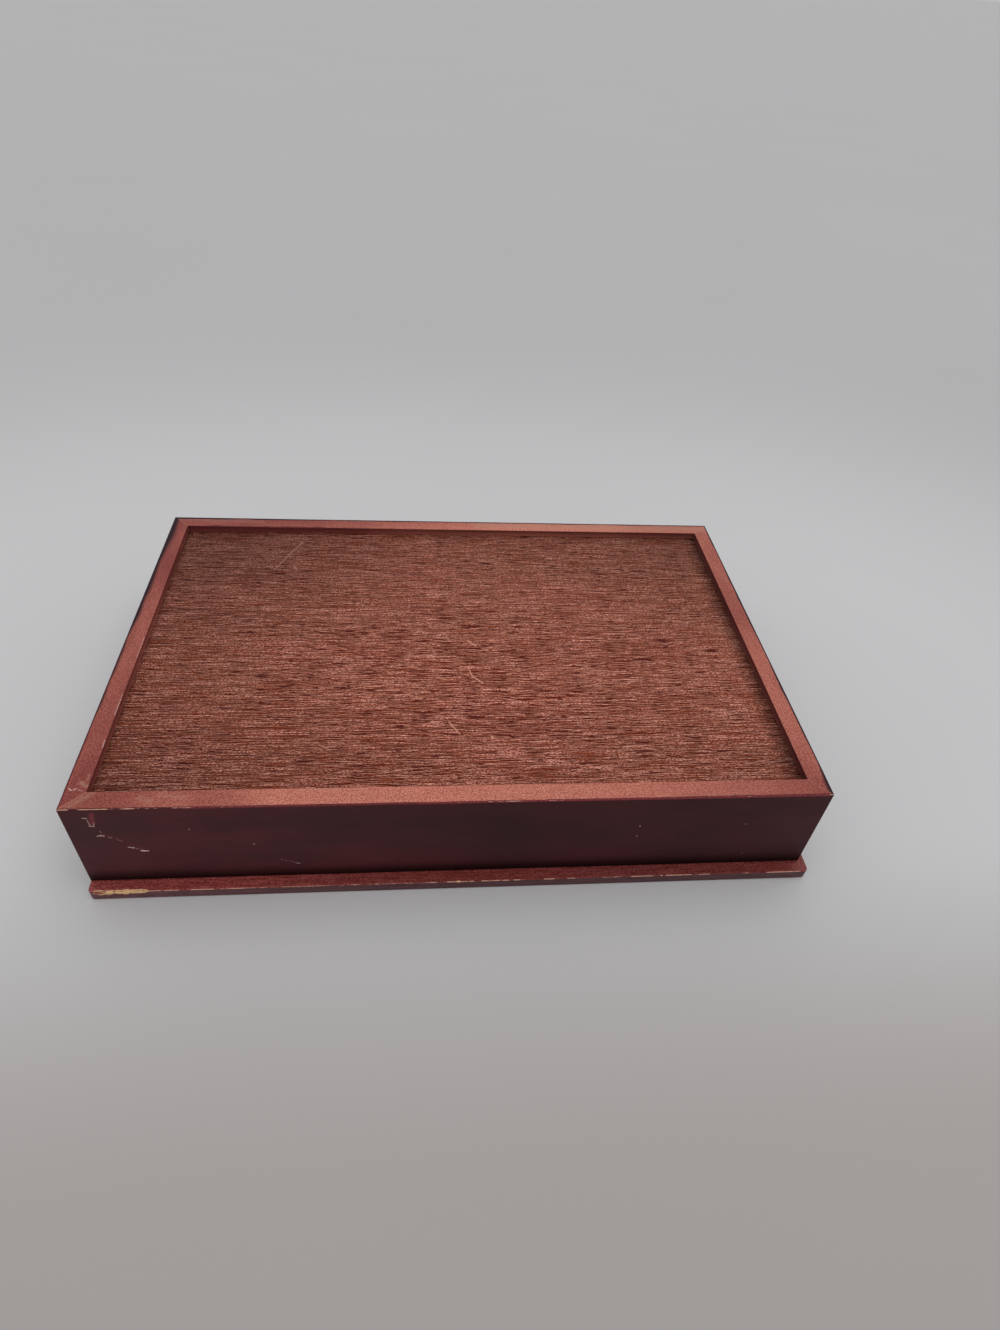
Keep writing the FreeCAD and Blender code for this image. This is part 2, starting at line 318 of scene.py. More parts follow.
def wood_fibre_group():
    """Fine fibres along a board, slow patches of tone and a fine speckle."""
    sizes = {f"{kind} {size}": NUMBER for kind in GRAIN_KINDS for size in ("Length", "Width")}
    group, given, ends = new_group("wood_fibre", {"Place": VECTOR, **sizes},
                                   dict.fromkeys(GRAIN_KINDS, NUMBER))
    fibre_place, patch_place, speckle_place = (
        stretched(group, given["Place"], given[f"{kind} Length"], given[f"{kind} Width"])
        for kind in GRAIN_KINDS)
    fibre = noise_value(group, fibre_place, 3.0)
    patch = noise_value(group, patch_place, 3.0, 0.6)
    speckle = noise_value(group, speckle_place, 2.0, 0.6)
    return close_group(group, ends, Fibre=fibre, Patch=ramp(group, patch, 0.3, 0.7), Speckle=speckle)


def scuff_mark_group():
    """A mark along a line from start to end, broken up by noise."""
    group, given, ends = new_group(
        "scuff_mark", {"Place": VECTOR, "Start": VECTOR, "End": VECTOR, "Width": NUMBER, "Breakup": NUMBER,
                       "Strength": NUMBER}, {"Mask": NUMBER})
    reach = vector_maths(group, "SUBTRACT", given["End"], given["Start"])
    offset = vector_maths(group, "SUBTRACT", given["Place"], given["Start"])
    share = maths(group, "DIVIDE", vector_measure(group, "DOT_PRODUCT", offset, reach),
                  vector_measure(group, "DOT_PRODUCT", reach, reach))
    held = add_node(group, "ShaderNodeClamp", {"Value": share}).outputs[0]
    along = add_node(group, "ShaderNodeVectorMath", {0: reach, "Scale": held}, operation="SCALE")
    distance = vector_measure(group, "DISTANCE", offset, along.outputs["Vector"])
    ragged = noise_value(group, cells(group, given["Place"], *SCUFF_CELLS), 3.0, 0.7)
    spread = times(group, minus(group, ragged, 0.45), given["Breakup"])
    away = plus(group, maths(group, "DIVIDE", distance, given["Width"]), times(group, spread, 5.0))
    mask = times(group, ramp(group, away, 1.1, 0.3), given["Strength"])
    return close_group(group, ends, Mask=mask)


def worn_edge_group():
    """Bare wood where an edge has lost its finish, with a rubbed rim round it."""
    group, given, ends = new_group("worn_edge", {"Wear": NUMBER, "Place": VECTOR},
                                   {"Bare": NUMBER, "Rubbed": NUMBER})
    ragged = noise_value(group, cells(group, given["Place"], *WORN_CELLS), 2.0, 0.6)
    level = plus(group, given["Wear"], times(group, minus(group, ragged, 0.5), 0.7))
    worn = times(group, level, ramp(group, given["Wear"], 0.0, 0.12))
    return close_group(group, ends, Bare=ramp(group, worn, 0.5, 0.7), Rubbed=ramp(group, worn, 0.2, 0.6))


def brass_tarnish_group():
    """Tarnish in patches and fine rubbing marks on old brass."""
    group, given, ends = new_group("brass_tarnish", {"Place": VECTOR, "Clean": COLOUR, "Tarnished": COLOUR},
                                   {"Color": COLOUR, "Roughness": NUMBER, "Height": NUMBER})
    patch = noise_value(group, cells(group, given["Place"], *TARNISH_CELLS), 4.0, 0.6)
    rubbing = noise_value(group, cells(group, given["Place"], *RUBBING_CELLS), 2.0)
    dull = ramp(group, patch, 0.35, 0.7)
    shade = mix(group, dull, given["Clean"], given["Tarnished"])
    rough = plus(group, times(group, dull, 0.25), times(group, rubbing, 0.3))
    return close_group(group, ends, Color=shade, Roughness=plus(group, rough, 0.12), Height=rubbing)


def place_group(tree, make, **inputs):
    """Places the group that a function makes, made once, in a tree and returns its outputs."""
    group = bpy.data.node_groups.get(make.__name__.removesuffix("_group")) or make()
    named = {label.replace("_", " "): value for label, value in inputs.items()}
    return add_node(tree, "ShaderNodeGroup", named, node_tree=group).outputs


# Materials

# Depth that the fine relief of a finish stands for
RELIEF_DEPTH = 0.1 * MM
BRASS_RELIEF_DEPTH = 0.05 * MM


def new_material(name):
    """A material and its tree, still empty."""
    material = bpy.data.materials.new(name)
    material.use_nodes = True
    material.node_tree.nodes.clear()
    return material, material.node_tree


def close_material(tree, inputs, height, relief, depth=RELIEF_DEPTH):
    """Ends a material in its Principled shader, with a fine relief of the given strength and depth."""
    bump = add_node(tree, "ShaderNodeBump", {"Strength": relief, "Distance": depth, "Height": height})
    shader = add_node(tree, "ShaderNodeBsdfPrincipled", {**inputs, "Normal": bump.outputs["Normal"]})
    add_node(tree, "ShaderNodeOutputMaterial", {"Surface": shader.outputs["BSDF"]})


# How far a change of the stain's depth shows in red, green and blue, on the boards and on the bottom sheet
STAIN_SWING = (0.85, 1.3, 1.45)
SHEET_SWING = (0.92, 1.7, 2.2)
# The most that deep stain takes from any of the three
DEEPEST_STAIN = 0.97


def stained(tree, finish, level, swing=STAIN_SWING):
    """A finish with its stain paler or deeper by a level about 1: deep stain is redder, pale stain is tan."""
    deepest = 1.0 - DEEPEST_STAIN / max(swing)
    change = grey(tree, minus(tree, maths(tree, "MAXIMUM", level, deepest), 1.0))
    return toned(tree, finish, vector_maths(tree, "MULTIPLY_ADD", change, swing, (1.0, 1.0, 1.0)))


def scuff_marks(tree, place, marks, flat):
    """The strongest of several marks, each given by its two ends, its width, its breakup and its strength.

    The flat function turns the two coordinates of an end on its face, in millimetres, into a place.
    """
    strongest = None
    for start, end, width, breakup, strength in marks:
        mask = place_group(tree, scuff_mark_group, Place=place, Start=flat(*start), End=flat(*end),
                           Width=width * MM, Breakup=breakup, Strength=strength)["Mask"]
        strongest = mask if strongest is None else maths(tree, "MAXIMUM", strongest, mask)
    return strongest


def on_front(x, z):
    """A place on the outer face of the front wall, from millimetres."""
    return (x * MM, BOX_LOW.y, z * MM)


def on_base(x, y):
    """A place on the base edges of the walls, from millimetres."""
    return (x * MM, y * MM, BOX_HIGH.z)


def on_sheet(x, y):
    """A place on the outer face of the bottom sheet, from millimetres."""
    return (x * MM, y * MM, SHEET_HIGH.z)


# Marks in the finish: two ends and width in millimetres, then breakup and strength
FRONT_SCUFFS = (
    ((-145.8, 47.4), (-144.4, 47.3), 0.4, 0.5, 0.7), ((-144.5, 46.7), (-144.4, 43.1), 0.3, 0.9, 0.5),
    ((-144.5, 42.6), (-143.0, 42.2), 0.6, 0.6, 0.6), ((-142.9, 42.5), (-142.5, 44.5), 0.35, 0.9, 0.4),
    ((-143.3, 35.9), (-142.1, 36.3), 0.5, 0.6, 0.75), ((-142.1, 36.3), (-140.9, 35.8), 0.45, 0.6, 0.95),
    ((-141.6, 38.9), (-141.5, 38.4), 0.3, 0.6, 0.4), ((-139.6, 34.9), (-138.4, 34.5), 0.3, 0.9, 0.45),
    ((-137.0, 33.6), (-135.0, 32.3), 0.25, 1.0, 0.35), ((-133.5, 28.2), (-131.7, 27.6), 0.5, 0.6, 0.8),
    ((-131.0, 27.1), (-129.6, 26.8), 0.25, 0.9, 0.45), ((-129.2, 25.6), (-128.1, 25.4), 0.65, 0.35, 1.0),
    ((-128.1, 25.4), (-126.6, 25.4), 0.45, 0.4, 1.0), ((-108.6, 39.1), (-108.3, 38.8), 0.3, 0.5, 0.4),
    ((72.4, 34.5), (72.5, 33.8), 0.35, 0.5, 0.5), ((72.3, 27.5), (72.4, 26.9), 0.35, 0.5, 0.5),
    ((-70.2, 14.3), (-68.6, 13.7), 0.4, 0.7, 0.5), ((-85.5, 28.4), (-85.1, 28.1), 0.35, 0.5, 0.5),
    ((-76.0, 17.0), (-70.6, 14.7), 0.22, 1.0, 0.25), ((118.0, 34.0), (119.0, 33.7), 0.3, 0.7, 0.25),
    ((122.5, 12.5), (123.0, 12.2), 0.3, 0.6, 0.3),
)
FRONT_BLUSHES = (
    ((-142.0, 49.8), (-143.3, 43.6), 1.5, 0.6, 0.7), ((-132.2, 30.2), (-128.0, 27.0), 1.2, 1.0, 0.2),
    ((-141.4, 37.3), (-135.4, 33.8), 1.0, 1.0, 0.25), ((-108.0, 52.3), (-20.0, 52.3), 0.7, 0.8, 0.7),
    ((-20.0, 52.3), (149.0, 52.3), 0.75, 0.5, 0.9),
)
BASE_RUBS = (
    ((-148.8, -88.0), (-146.3, -89.6), 1.6, 0.7, 0.5), ((-146.8, -84.0), (-146.6, -87.0), 0.9, 0.8, 0.35),
    ((-150.0, -99.9), (-143.2, -93.2), 2.2, 0.9, 0.38), ((-152.9, -100.3), (-145.0, -92.4), 0.35, 0.6, 0.3),
    ((-125.1, -96.0), (-120.3, -97.7), 1.5, 1.0, 0.45), ((-116.3, -92.9), (-116.1, -93.0), 0.5, 0.3, 0.9),
    ((-118.0, -95.0), (-108.0, -96.0), 1.3, 1.0, 0.3), ((-66.0, -93.4), (-40.0, -93.6), 0.6, 1.0, 0.35),
    ((152.0, 97.0), (15.0, 97.0), 5.0, 0.8, 0.45), ((-152.0, 99.0), (-106.0, 97.6), 3.0, 0.9, 0.24),
)
BASE_NICKS = (
    ((-152.4, -90.7), (-151.2, -91.7), 0.35, 0.6, 0.6), ((-150.4, -91.5), (-149.7, -90.9), 0.35, 0.6, 0.6),
    ((-148.6, -91.5), (-147.3, -91.9), 0.35, 0.7, 0.35), ((-145.9, -40.0), (-145.8, -52.0), 0.26, 0.7, 0.45),
    ((-145.9, -2.0), (-145.8, -16.0), 0.25, 0.8, 0.4), ((-145.9, -66.0), (-145.8, -70.0), 0.3, 0.6, 0.45),
)
SHEET_SCRATCHES = (
    ((-82.7, 83.5), (-88.0, 72.7), 0.46, 0.3, 1.0), ((-88.0, 72.7), (-95.0, 56.9), 0.42, 0.4, 0.9),
    ((-85.1, 60.7), (-83.1, 57.2), 0.55, 0.3, 0.9), ((4.5, -21.0), (5.5, -25.1), 0.38, 0.3, 1.0),
    ((5.5, -25.1), (10.3, -29.8), 0.42, 0.3, 1.0), ((4.8, -0.2), (8.5, -3.9), 0.52, 0.3, 1.0),
    ((-6.1, -54.3), (-1.6, -61.5), 0.42, 0.3, 1.0), ((12.1, -63.2), (12.4, -63.8), 0.8, 0.2, 1.0),
)
# Painted shade along the sides of the bottom sheet, the recess walls' shadow and a falloff of light: axis,
# side, width in mm and darkest level
SHEET_PAINTED_SHADE = (
    ("X", 1, 9, 0.42), ("X", 1, 110, 0.87), ("X", -1, 3, 0.7), ("X", -1, 140, 0.64),
    ("Y", 1, 9, 0.86), ("Y", 1, 120, 0.62), ("Y", -1, 2, 0.8), ("Y", -1, 70, 0.77),
)
# Painted light in the middle of the bottom sheet: how much lighter its colour is made there
SHEET_PAINTED_LIGHT = 1.12
# Sizes of the grain on the walls, the lid and the bottom sheet
WALL_GRAIN = {"Fibre_Length": 28 * MM, "Fibre_Width": 0.7 * MM, "Patch_Length": 65 * MM,
              "Patch_Width": 26 * MM, "Speckle_Length": 0.6 * MM, "Speckle_Width": 0.5 * MM}
LID_GRAIN = {"Fibre_Length": 9 * MM, "Fibre_Width": 0.6 * MM, "Patch_Length": 75 * MM,
             "Patch_Width": 30 * MM, "Speckle_Length": 0.65 * MM, "Speckle_Width": 0.65 * MM}
SHEET_GRAIN = {"Fibre_Length": 22 * MM, "Fibre_Width": 0.34 * MM, "Patch_Length": 85 * MM,
               "Patch_Width": 34 * MM, "Speckle_Length": 0.9 * MM, "Speckle_Width": 0.4 * MM}
SPLINTER_CELLS = (6 * MM, 0.5 * MM, 0.5 * MM)
# The part of its range in which most of each noise lies
FIBRE_RANGE = (0.3, 0.7)
SPECKLE_RANGE = (0.25, 0.75)
# Places along the box between which a finish changes, from left to right
# Painted light on the walls' outer faces: lighter at the left end of the box, darker to the right
WALL_LIT_SPAN = (-80 * MM, 30 * MM)
ARRIS_FADE = (-40 * MM, 80 * MM)
LID_FADE = (-150 * MM, 10 * MM)
CHIP_FADE = (-152 * MM, -138 * MM)
# Heights of the painted shade at the foot of the walls, by the lid, and of the lid's inner face, and
# distances from a mitre
WALL_FOOT_SHADE = (BOX_LOW.z, BOX_LOW.z + 9 * MM)
LID_FACE = (LID_HIGH.z - 0.45 * MM, LID_HIGH.z - 0.05 * MM)
MITRE_LINE = (0.3 * MM, 0.1 * MM)
# Specular level of each finish and strength of its fine relief
WALL_SHEEN, LID_SHEEN, SHEET_SHEEN = 0.15, 0.3, 0.1
LACQUER_RELIEF, SHEET_RELIEF, FLOOR_RELIEF = 0.25, 0.3, 0.05


def stained_wall_material(colours):
    """Dark red lacquer on the walls, rubbed to a lighter red on their base edges and bare on worn arrises."""
    material, tree = new_material("stained_wall_lacquer")
    place, board = object_place(tree), attribute(tree, "board", "Vector")
    axes = axes_of(tree, place)
    base = attribute(tree, "base_edge")
    grain = place_group(tree, wood_fibre_group, Place=board, **WALL_GRAIN)
    dark = mix(tree, grain["Patch"], colours.wall_dark, colours.wall_red)
    # Painted light mixed with real rubbing: the stored level lightens the base edges where handling wore them
    # and where a painted sheen lies
    handled = plus(tree, ramp(tree, grain["Patch"], 0.0, 1.0, -0.1, 0.1), attribute(tree, "handled"))
    rubbed = mix(tree, handled, colours.base_deep, colours.base_light)
    finish = mix(tree, base, dark, rubbed)
    finish = toned(tree, finish, grey(tree, ramp(tree, grain["Fibre"], *FIBRE_RANGE, 0.95, 1.05)))
    speck = ramp(tree, grain["Speckle"], *SPECKLE_RANGE, 0.5, 1.5)
    finish = mix(tree, ramp(tree, base, 0.0, 1.0, 0.35, 1.0), finish, stained(tree, finish, speck))
    mitre = ramp(tree, attribute(tree, "mitre"), *MITRE_LINE, 0.0, 0.3)
    finish = mix(tree, times(tree, mitre, base), finish, colours.worn_tan)
    finish = mix(tree, attribute(tree, "dark_line"), finish, colours.edge_dark)
    # Painted shade: the walls' outer faces darker towards their foot, where they meet the lid
    foot_shade = ramp(tree, axes["Z"], *WALL_FOOT_SHADE, 0.12, 1.0)
    # Painted light: the walls' outer faces lighter towards the left and darker towards the right
    lit_from_left = ramp(tree, axes["X"], *WALL_LIT_SPAN, 1.2, 0.78)
    finish = toned(tree, finish, mix(tree, base, grey(tree, times(tree, foot_shade, lit_from_left)), (1.0, 1.0, 1.0)))
    finish = mix(tree, scuff_marks(tree, place, FRONT_BLUSHES, on_front), finish, colours.scuff_red)
    finish = mix(tree, scuff_marks(tree, place, FRONT_SCUFFS, on_front), finish, colours.scuff_pink)
    rubs = times(tree, scuff_marks(tree, place, BASE_RUBS, on_base), ramp(tree, base, 0.4, 1.0))
    finish = mix(tree, rubs, finish, colours.rub_grey)
    finish = mix(tree, scuff_marks(tree, place, BASE_NICKS, on_base), finish, colours.scuff_pink)
    edge = place_group(tree, worn_edge_group, Wear=attribute(tree, "wear"), Place=board)
    finish = mix(tree, times(tree, edge["Rubbed"], 0.4), finish, colours.base_deep)
    worn = mix(tree, ramp(tree, axes["X"], *ARRIS_FADE, 0.0, 0.4), colours.worn_tan, colours.scuff_pink)
    finish = mix(tree, edge["Bare"], finish, worn)
    gloss = ramp(tree, grain["Speckle"], *SPECKLE_RANGE, 0.42, 0.58)
    gloss = plus(tree, gloss, times(tree, edge["Bare"], 0.3))
    relief = plus(tree, times(tree, grain["Fibre"], 0.6), grain["Speckle"])
    close_material(tree, {"Base Color": finish, "Roughness": gloss, "Specular IOR Level": WALL_SHEEN},
                   relief, LACQUER_RELIEF)
    return material


def stained_lid_material(colours):
    """Dark red lacquer on the lid with fine grain along it, bare where its arris is worn or chipped."""
    material, tree = new_material("stained_lid_lacquer")
    place = object_place(tree)
    axes = axes_of(tree, place)
    grain = place_group(tree, wood_fibre_group, Place=place, **LID_GRAIN)
    inner = ramp(tree, axes["Z"], *LID_FACE)
    shade = times(tree, inner, ramp(tree, grain["Patch"], 0.0, 1.0, 0.8, 1.0))
    finish = mix(tree, shade, colours.lid_dark, colours.lid_red)
    streak = ramp(tree, grain["Fibre"], *FIBRE_RANGE, 0.75, 1.25)
    speck = ramp(tree, grain["Speckle"], *SPECKLE_RANGE, 0.5, 1.5)
    finish = stained(tree, finish, times(tree, streak, speck))
    finish = toned(tree, finish, grey(tree, ramp(tree, axes["X"], *LID_FADE, 1.33, 0.9)))
    edge = place_group(tree, worn_edge_group, Wear=attribute(tree, "wear"), Place=place)
    finish = mix(tree, times(tree, edge["Rubbed"], 0.5), finish, colours.base_deep)
    finish = mix(tree, edge["Bare"], finish, colours.worn_tan)
    splinter = noise_value(tree, cells(tree, place, *SPLINTER_CELLS), 2.0, 0.6)
    fresh = plus(tree, splinter, ramp(tree, axes["X"], *CHIP_FADE, -0.08, 0.12))
    bare = mix(tree, ramp(tree, fresh, 0.4, 0.56), colours.base_deep, colours.bare_wood)
    finish = mix(tree, attribute(tree, "chip"), finish, bare)
    gloss = ramp(tree, grain["Speckle"], *SPECKLE_RANGE, 0.34, 0.5)
    gloss = plus(tree, gloss, times(tree, edge["Bare"], 0.3))
    relief = plus(tree, times(tree, grain["Fibre"], 0.8), grain["Speckle"])
    close_material(tree, {"Base Color": finish, "Roughness": gloss, "Specular IOR Level": LID_SHEEN},
                   relief, LACQUER_RELIEF)
    return material


# Where the pores crowd together on the bottom sheet, and one over how far that reaches along and across it
PORE_MIDDLE = (5 * MM, -25 * MM, 0.0)
PORE_SPREAD = (1 / (120 * MM), 1 / (60 * MM), 0.0)
# Cells in which the pores sway and crowd, along, across and deep, and how far they sway
SWAY_CELLS = (90 * MM, 30 * MM, 1.0)
CROWD_CELLS = (60 * MM, 14 * MM, 1.0)
PORE_SWAY = 0.2 * MM
# Short pores among the long ones: their own place in the noise, and their size as a share of a long one's
SHORT_PORE_PLACE = (0.37, 0.21, 0.0)
SHORT_PORE_LENGTH, SHORT_PORE_WIDTH = 0.4, 0.8


def streaks(tree, place, along, across):
    """Soft straight streaks along the grain, of about the given length and width."""
    return noise_value(tree, cells(tree, place, along, across, along), 0.8)


def pore_field(tree, place, sizes):
    """Open pores in the face veneer: 1 in a pore, 0 between them. The same rule cuts and stains them."""
    sway = noise_value(tree, cells(tree, place, *SWAY_CELLS), 1.0)
    aside = ramp(tree, sway, 0.2, 0.8, -PORE_SWAY, PORE_SWAY)
    swayed = vector_maths(tree, "ADD", place, vector(tree, y=aside))
    offset = vector_maths(tree, "SUBTRACT", place, PORE_MIDDLE)
    away = vector_measure(tree, "LENGTH", vector_maths(tree, "MULTIPLY", offset, PORE_SPREAD))
    crowd = ramp(tree, noise_value(tree, cells(tree, place, *CROWD_CELLS)), 0.3, 0.7, -0.02, 0.02)
    crowd = plus(tree, crowd, ramp(tree, away, 0.3, 1.2, 0.045, 0.0))
    length, width = sizes.pore_length, sizes.pore_width
    other_place = vector_maths(tree, "ADD", swayed, SHORT_PORE_PLACE)
    short = streaks(tree, other_place, length * SHORT_PORE_LENGTH, width * SHORT_PORE_WIDTH)
    long_pores = ramp(tree, plus(tree, streaks(tree, swayed, length, width), crowd), 0.57, 0.62)
    short_pores = ramp(tree, plus(tree, short, crowd), 0.59, 0.64, 0.0, 0.95)
    return maths(tree, "MAXIMUM", long_pores, short_pores)


def gathered_stain(tree, place):
    """How light the bottom sheet is painted: painted light in the middle, painted shade along its sides."""
    axes = axes_of(tree, place)
    inside = {("X", 1): BOX_HIGH.x - WALL_THICKNESS, ("X", -1): BOX_LOW.x + WALL_THICKNESS,
              ("Y", 1): BOX_HIGH.y - WALL_THICKNESS, ("Y", -1): BOX_LOW.y + WALL_THICKNESS}
    light = SHEET_PAINTED_LIGHT
    for axis, side, width, darkest in SHEET_PAINTED_SHADE:
        away = maths(tree, "MULTIPLY_ADD", axes[axis], -side, side * inside[axis, side])
        light = times(tree, light, ramp(tree, away, 0.0, width * MM, darkest, 1.0))
    return light


def open_grain_material(colours, sizes):
    """Red-brown stain soaked into open-grained plywood, dark in the pores, with a painted highlight beside
    each pore and painted light and shade over the sheet.
    """
    material, tree = new_material("open_grain_plywood")
    place = object_place(tree)
    grain = place_group(tree, wood_fibre_group, Place=place, **SHEET_GRAIN)
    stain = mix(tree, grain["Patch"], colours.sheet_brown, colours.sheet_red)
    streak = ramp(tree, grain["Fibre"], 0.4, 0.6, 0.3, 1.7)
    speck = ramp(tree, grain["Speckle"], 0.34, 0.66, 0.05, 1.95)
    stain = stained(tree, stain, times(tree, streak, speck), SHEET_SWING)
    # Painted highlight: a pale line beside each pore, where its edge would catch the light
    beside = vector_maths(tree, "ADD", place, (0.0, sizes.pore_width, 0.0))
    stain = mix(tree, times(tree, pore_field(tree, beside, sizes), 0.4), stain, colours.sheet_fibre)
    pore = pore_field(tree, place, sizes)
    stain = mix(tree, times(tree, pore, 0.97), stain, colours.sheet_pore)
    stain = mix(tree, scuff_marks(tree, place, SHEET_SCRATCHES, on_sheet), stain, colours.sheet_fibre)
    # Painted light and shade: the sheet's colour made lighter in the middle and darker along its sides
    stain = toned(tree, stain, grey(tree, gathered_stain(tree, place)))
    gloss = ramp(tree, grain["Fibre"], *FIBRE_RANGE, 0.5, 0.64)
    relief = minus(tree, grain["Speckle"], times(tree, pore, 0.6))
    close_material(tree, {"Base Color": stain, "Roughness": gloss, "Specular IOR Level": SHEET_SHEEN},
                   relief, SHEET_RELIEF)
    return material


def brass_material(name, colours, relief):
    """Old brass, dulled in patches, with rubbing marks of the given strength."""
    material, tree = new_material(name)
    look = place_group(tree, brass_tarnish_group, Place=object_place(tree), Clean=colour(colours.brass),
                       Tarnished=colour(colours.tarnish))
    close_material(tree, {"Base Color": look["Color"], "Roughness": look["Roughness"], "Metallic": 1.0},
                   look["Height"], relief, BRASS_RELIEF_DEPTH)
    return material


# Painted shade on the floor: the tint of its painted shadow in front of the box, and its darker tone far from
# it
FLOOR_SHADOW_TINT = (0.76, 0.715, 0.68)
FLOOR_FAR_SHADE = (0.8, 0.8, 0.8)
# Distances between which the painted shade on the floor changes: painted shadow in front, darker behind,
# tinted in front, even far away
FLOOR_FRONT_SHADE = (-280 * MM, -60 * MM)
FLOOR_BACK_SHADE = (100 * MM, 600 * MM)
FLOOR_SHADOW_REACH = (-220 * MM, -80 * MM)
FLOOR_EVEN = (300 * MM, 700 * MM)
# Size of the floor's slow haze and of its fine relief
FLOOR_HAZE = 300 * MM
FLOOR_GRAIN = 2 * MM
FLOOR_ROUGHNESS = 0.7


def floor_material(colour_of_floor):
    """Pale matte floor with a trace of unevenness, with painted shade by its distance from the box: a painted
    shadow in front, darker behind and far away.
    """
    material, tree = new_material("pale_matte_floor")
    place = object_place(tree)
    haze = noise_value(tree, cells(tree, place, FLOOR_HAZE, FLOOR_HAZE, FLOOR_HAZE))
    shade = mix(tree, ramp(tree, haze, 0.2, 0.8, 0.0, 0.06), colour_of_floor, (0.5, 0.5, 0.5))
    # Painted shade: a painted shadow in front of the box, darker behind it and far from it
    depth = axes_of(tree, place)["Y"]
    painted_dim = times(tree, ramp(tree, depth, *FLOOR_FRONT_SHADE, 0.84, 1.0),
                ramp(tree, depth, *FLOOR_BACK_SHADE, 1.0, 0.8))
    front_shadow = ramp(tree, depth, *FLOOR_SHADOW_REACH, 1.0, 0.0)
    tone = mix(tree, front_shadow, grey(tree, painted_dim), FLOOR_SHADOW_TINT, "MULTIPLY")
    tone = mix(tree, ramp(tree, vector_measure(tree, "LENGTH", place), *FLOOR_EVEN), tone, FLOOR_FAR_SHADE)
    relief = noise_value(tree, cells(tree, place, FLOOR_GRAIN, FLOOR_GRAIN, FLOOR_GRAIN))
    close_material(tree, {"Base Color": toned(tree, shade, tone), "Roughness": FLOOR_ROUGHNESS}, relief,
                   FLOOR_RELIEF)
    return material


# Mesh helpers

SHARP_ANGLE = math.radians(38)
# Steps round a corner in plan, and rows round an arris at the rim
CORNER_STEPS = 8
RIM_ROWS = 4
# Uneven lines along an edge: wavelength and height of each wave
WEAR_WAVES = ((5 * MM, 0.8), (1.6 * MM, 0.6))
SPLINTER_WAVES = ((6 * MM, 3.2), (2.3 * MM, 2.2))
CHIP_WAVES = ((3 * MM, 0.3), (1.1 * MM, 0.45))
DARK_LINE_WAVES = ((12 * MM, 0.6),)
# Steps in which splinters break away, and length of a chip's sloping ends beyond its depth, in millimetres
SPLINTER_STEPS = 3
CHIP_END = 0.6


def uneven(stations, middle, waves, seed):
    """A smooth random line along the stations about a middle value; each wave takes the next seed."""
    line = np.full(len(stations), float(middle))
    for step, (wavelength, height) in enumerate(waves):
        wave = [noise.noise(Vector((s / wavelength, seed + step, 0.5))) for s in stations]
        line = line + height * np.array(wave)
    return line


def stretches(stations, places):
    """The strength of wear at each station, for stretches given by start, length and strength."""
    strength = np.zeros(len(stations))
    for start, length, strongest in places:
        inside = (stations / MM >= start) & (stations / MM <= start + length)
        strength = np.maximum(strength, np.where(inside, strongest, 0.0))
    return strength


def broken(stations, seed):
    """A line from 0 to 1 that breaks off and starts again."""
    return np.clip(uneven(stations, 0.95, WEAR_WAVES, seed), 0, 1)


def chips(stations, places):
    """How deep an edge is chipped at each station, for chips with steep ends: start, length and depth."""
    depth = np.zeros(len(stations))
    for start, length, deepest in places:
        into = np.minimum(stations / MM - start, start + length - stations / MM)
        depth = np.maximum(depth, np.clip(into / (deepest + CHIP_END), 0, 1) * deepest * MM)
    return depth


def splinters(stations, places, seed):
    """How deep an edge is broken away in flat steps, for stretches given by start, length and depth."""
    level = uneven(stations, 1.6, SPLINTER_WAVES, seed)
    return stretches(stations, places) * np.clip(np.round(level) / SPLINTER_STEPS, 0, 1) * MM


def levels_at(shares, table):
    """The levels of a table of shares and levels, at the given shares."""
    return np.interp(shares, *zip(*table))


def quarter(depth, height, radius_depth, radius_height, start, end, count):
    """Rows along a quarter of an ellipse, from one angle to the other in degrees."""
    angles = np.radians(np.linspace(start, end, count))
    return depth + radius_depth * np.cos(angles), height + radius_height * np.sin(angles)


def between(first, second, shares):
    """Rows at the given shares of the way from one row to another."""
    shares = np.array(shares)
    return [a + (b - a) * shares for a, b in zip(first, second)]


class BoardRows:
    """Lengthwise rows of a board, gathered block by block, with the values stored on their points."""

    def __init__(self, *labels):
        self.blocks = {label: [] for label in ("depth", "height", *labels)}

    def add(self, depth, height, **values):
        """Adds rows at a depth and a height, with their values by label, or 0 where none is given."""
        values.update(depth=depth, height=height)
        for label, parts in self.blocks.items():
            parts.append(np.broadcast_to(values.get(label, 0.0), depth.shape))

    def joined(self):
        """All the rows side by side, by label."""
        return {label: np.concatenate(parts, 1) for label, parts in self.blocks.items()}


def scene_object(name, data):
    """An object in the scene, at the origin."""
    thing = bpy.data.objects.new(name, data)
    bpy.context.scene.collection.objects.link(thing)
    return thing


def mesh_object(name, points, faces, values):
    """A smooth-shaded object with values stored on its points, with its faces turned outwards."""
    mesh = bpy.data.meshes.new(name)
    mesh.from_pydata(points.tolist(), [], faces)
    for label, numbers in values.items():
        layer = mesh.attributes.new(label, "FLOAT", "POINT")
        layer.data.foreach_set("value", np.ascontiguousarray(numbers, np.float32).ravel())
    turn_outwards(mesh)
    return scene_object(name, mesh)


def turn_outwards(mesh):
    """Turns the faces of a closed mesh outwards and shades it smooth between its sharp edges."""
    shell = bmesh.new()
    shell.from_mesh(mesh)
    bmesh.ops.recalc_face_normals(shell, faces=shell.faces)
    shell.to_mesh(mesh)
    shell.free()
    mesh.polygons.foreach_set("use_smooth", [True] * len(mesh.polygons))
    mesh.set_sharp_from_angle(angle=SHARP_ANGLE)


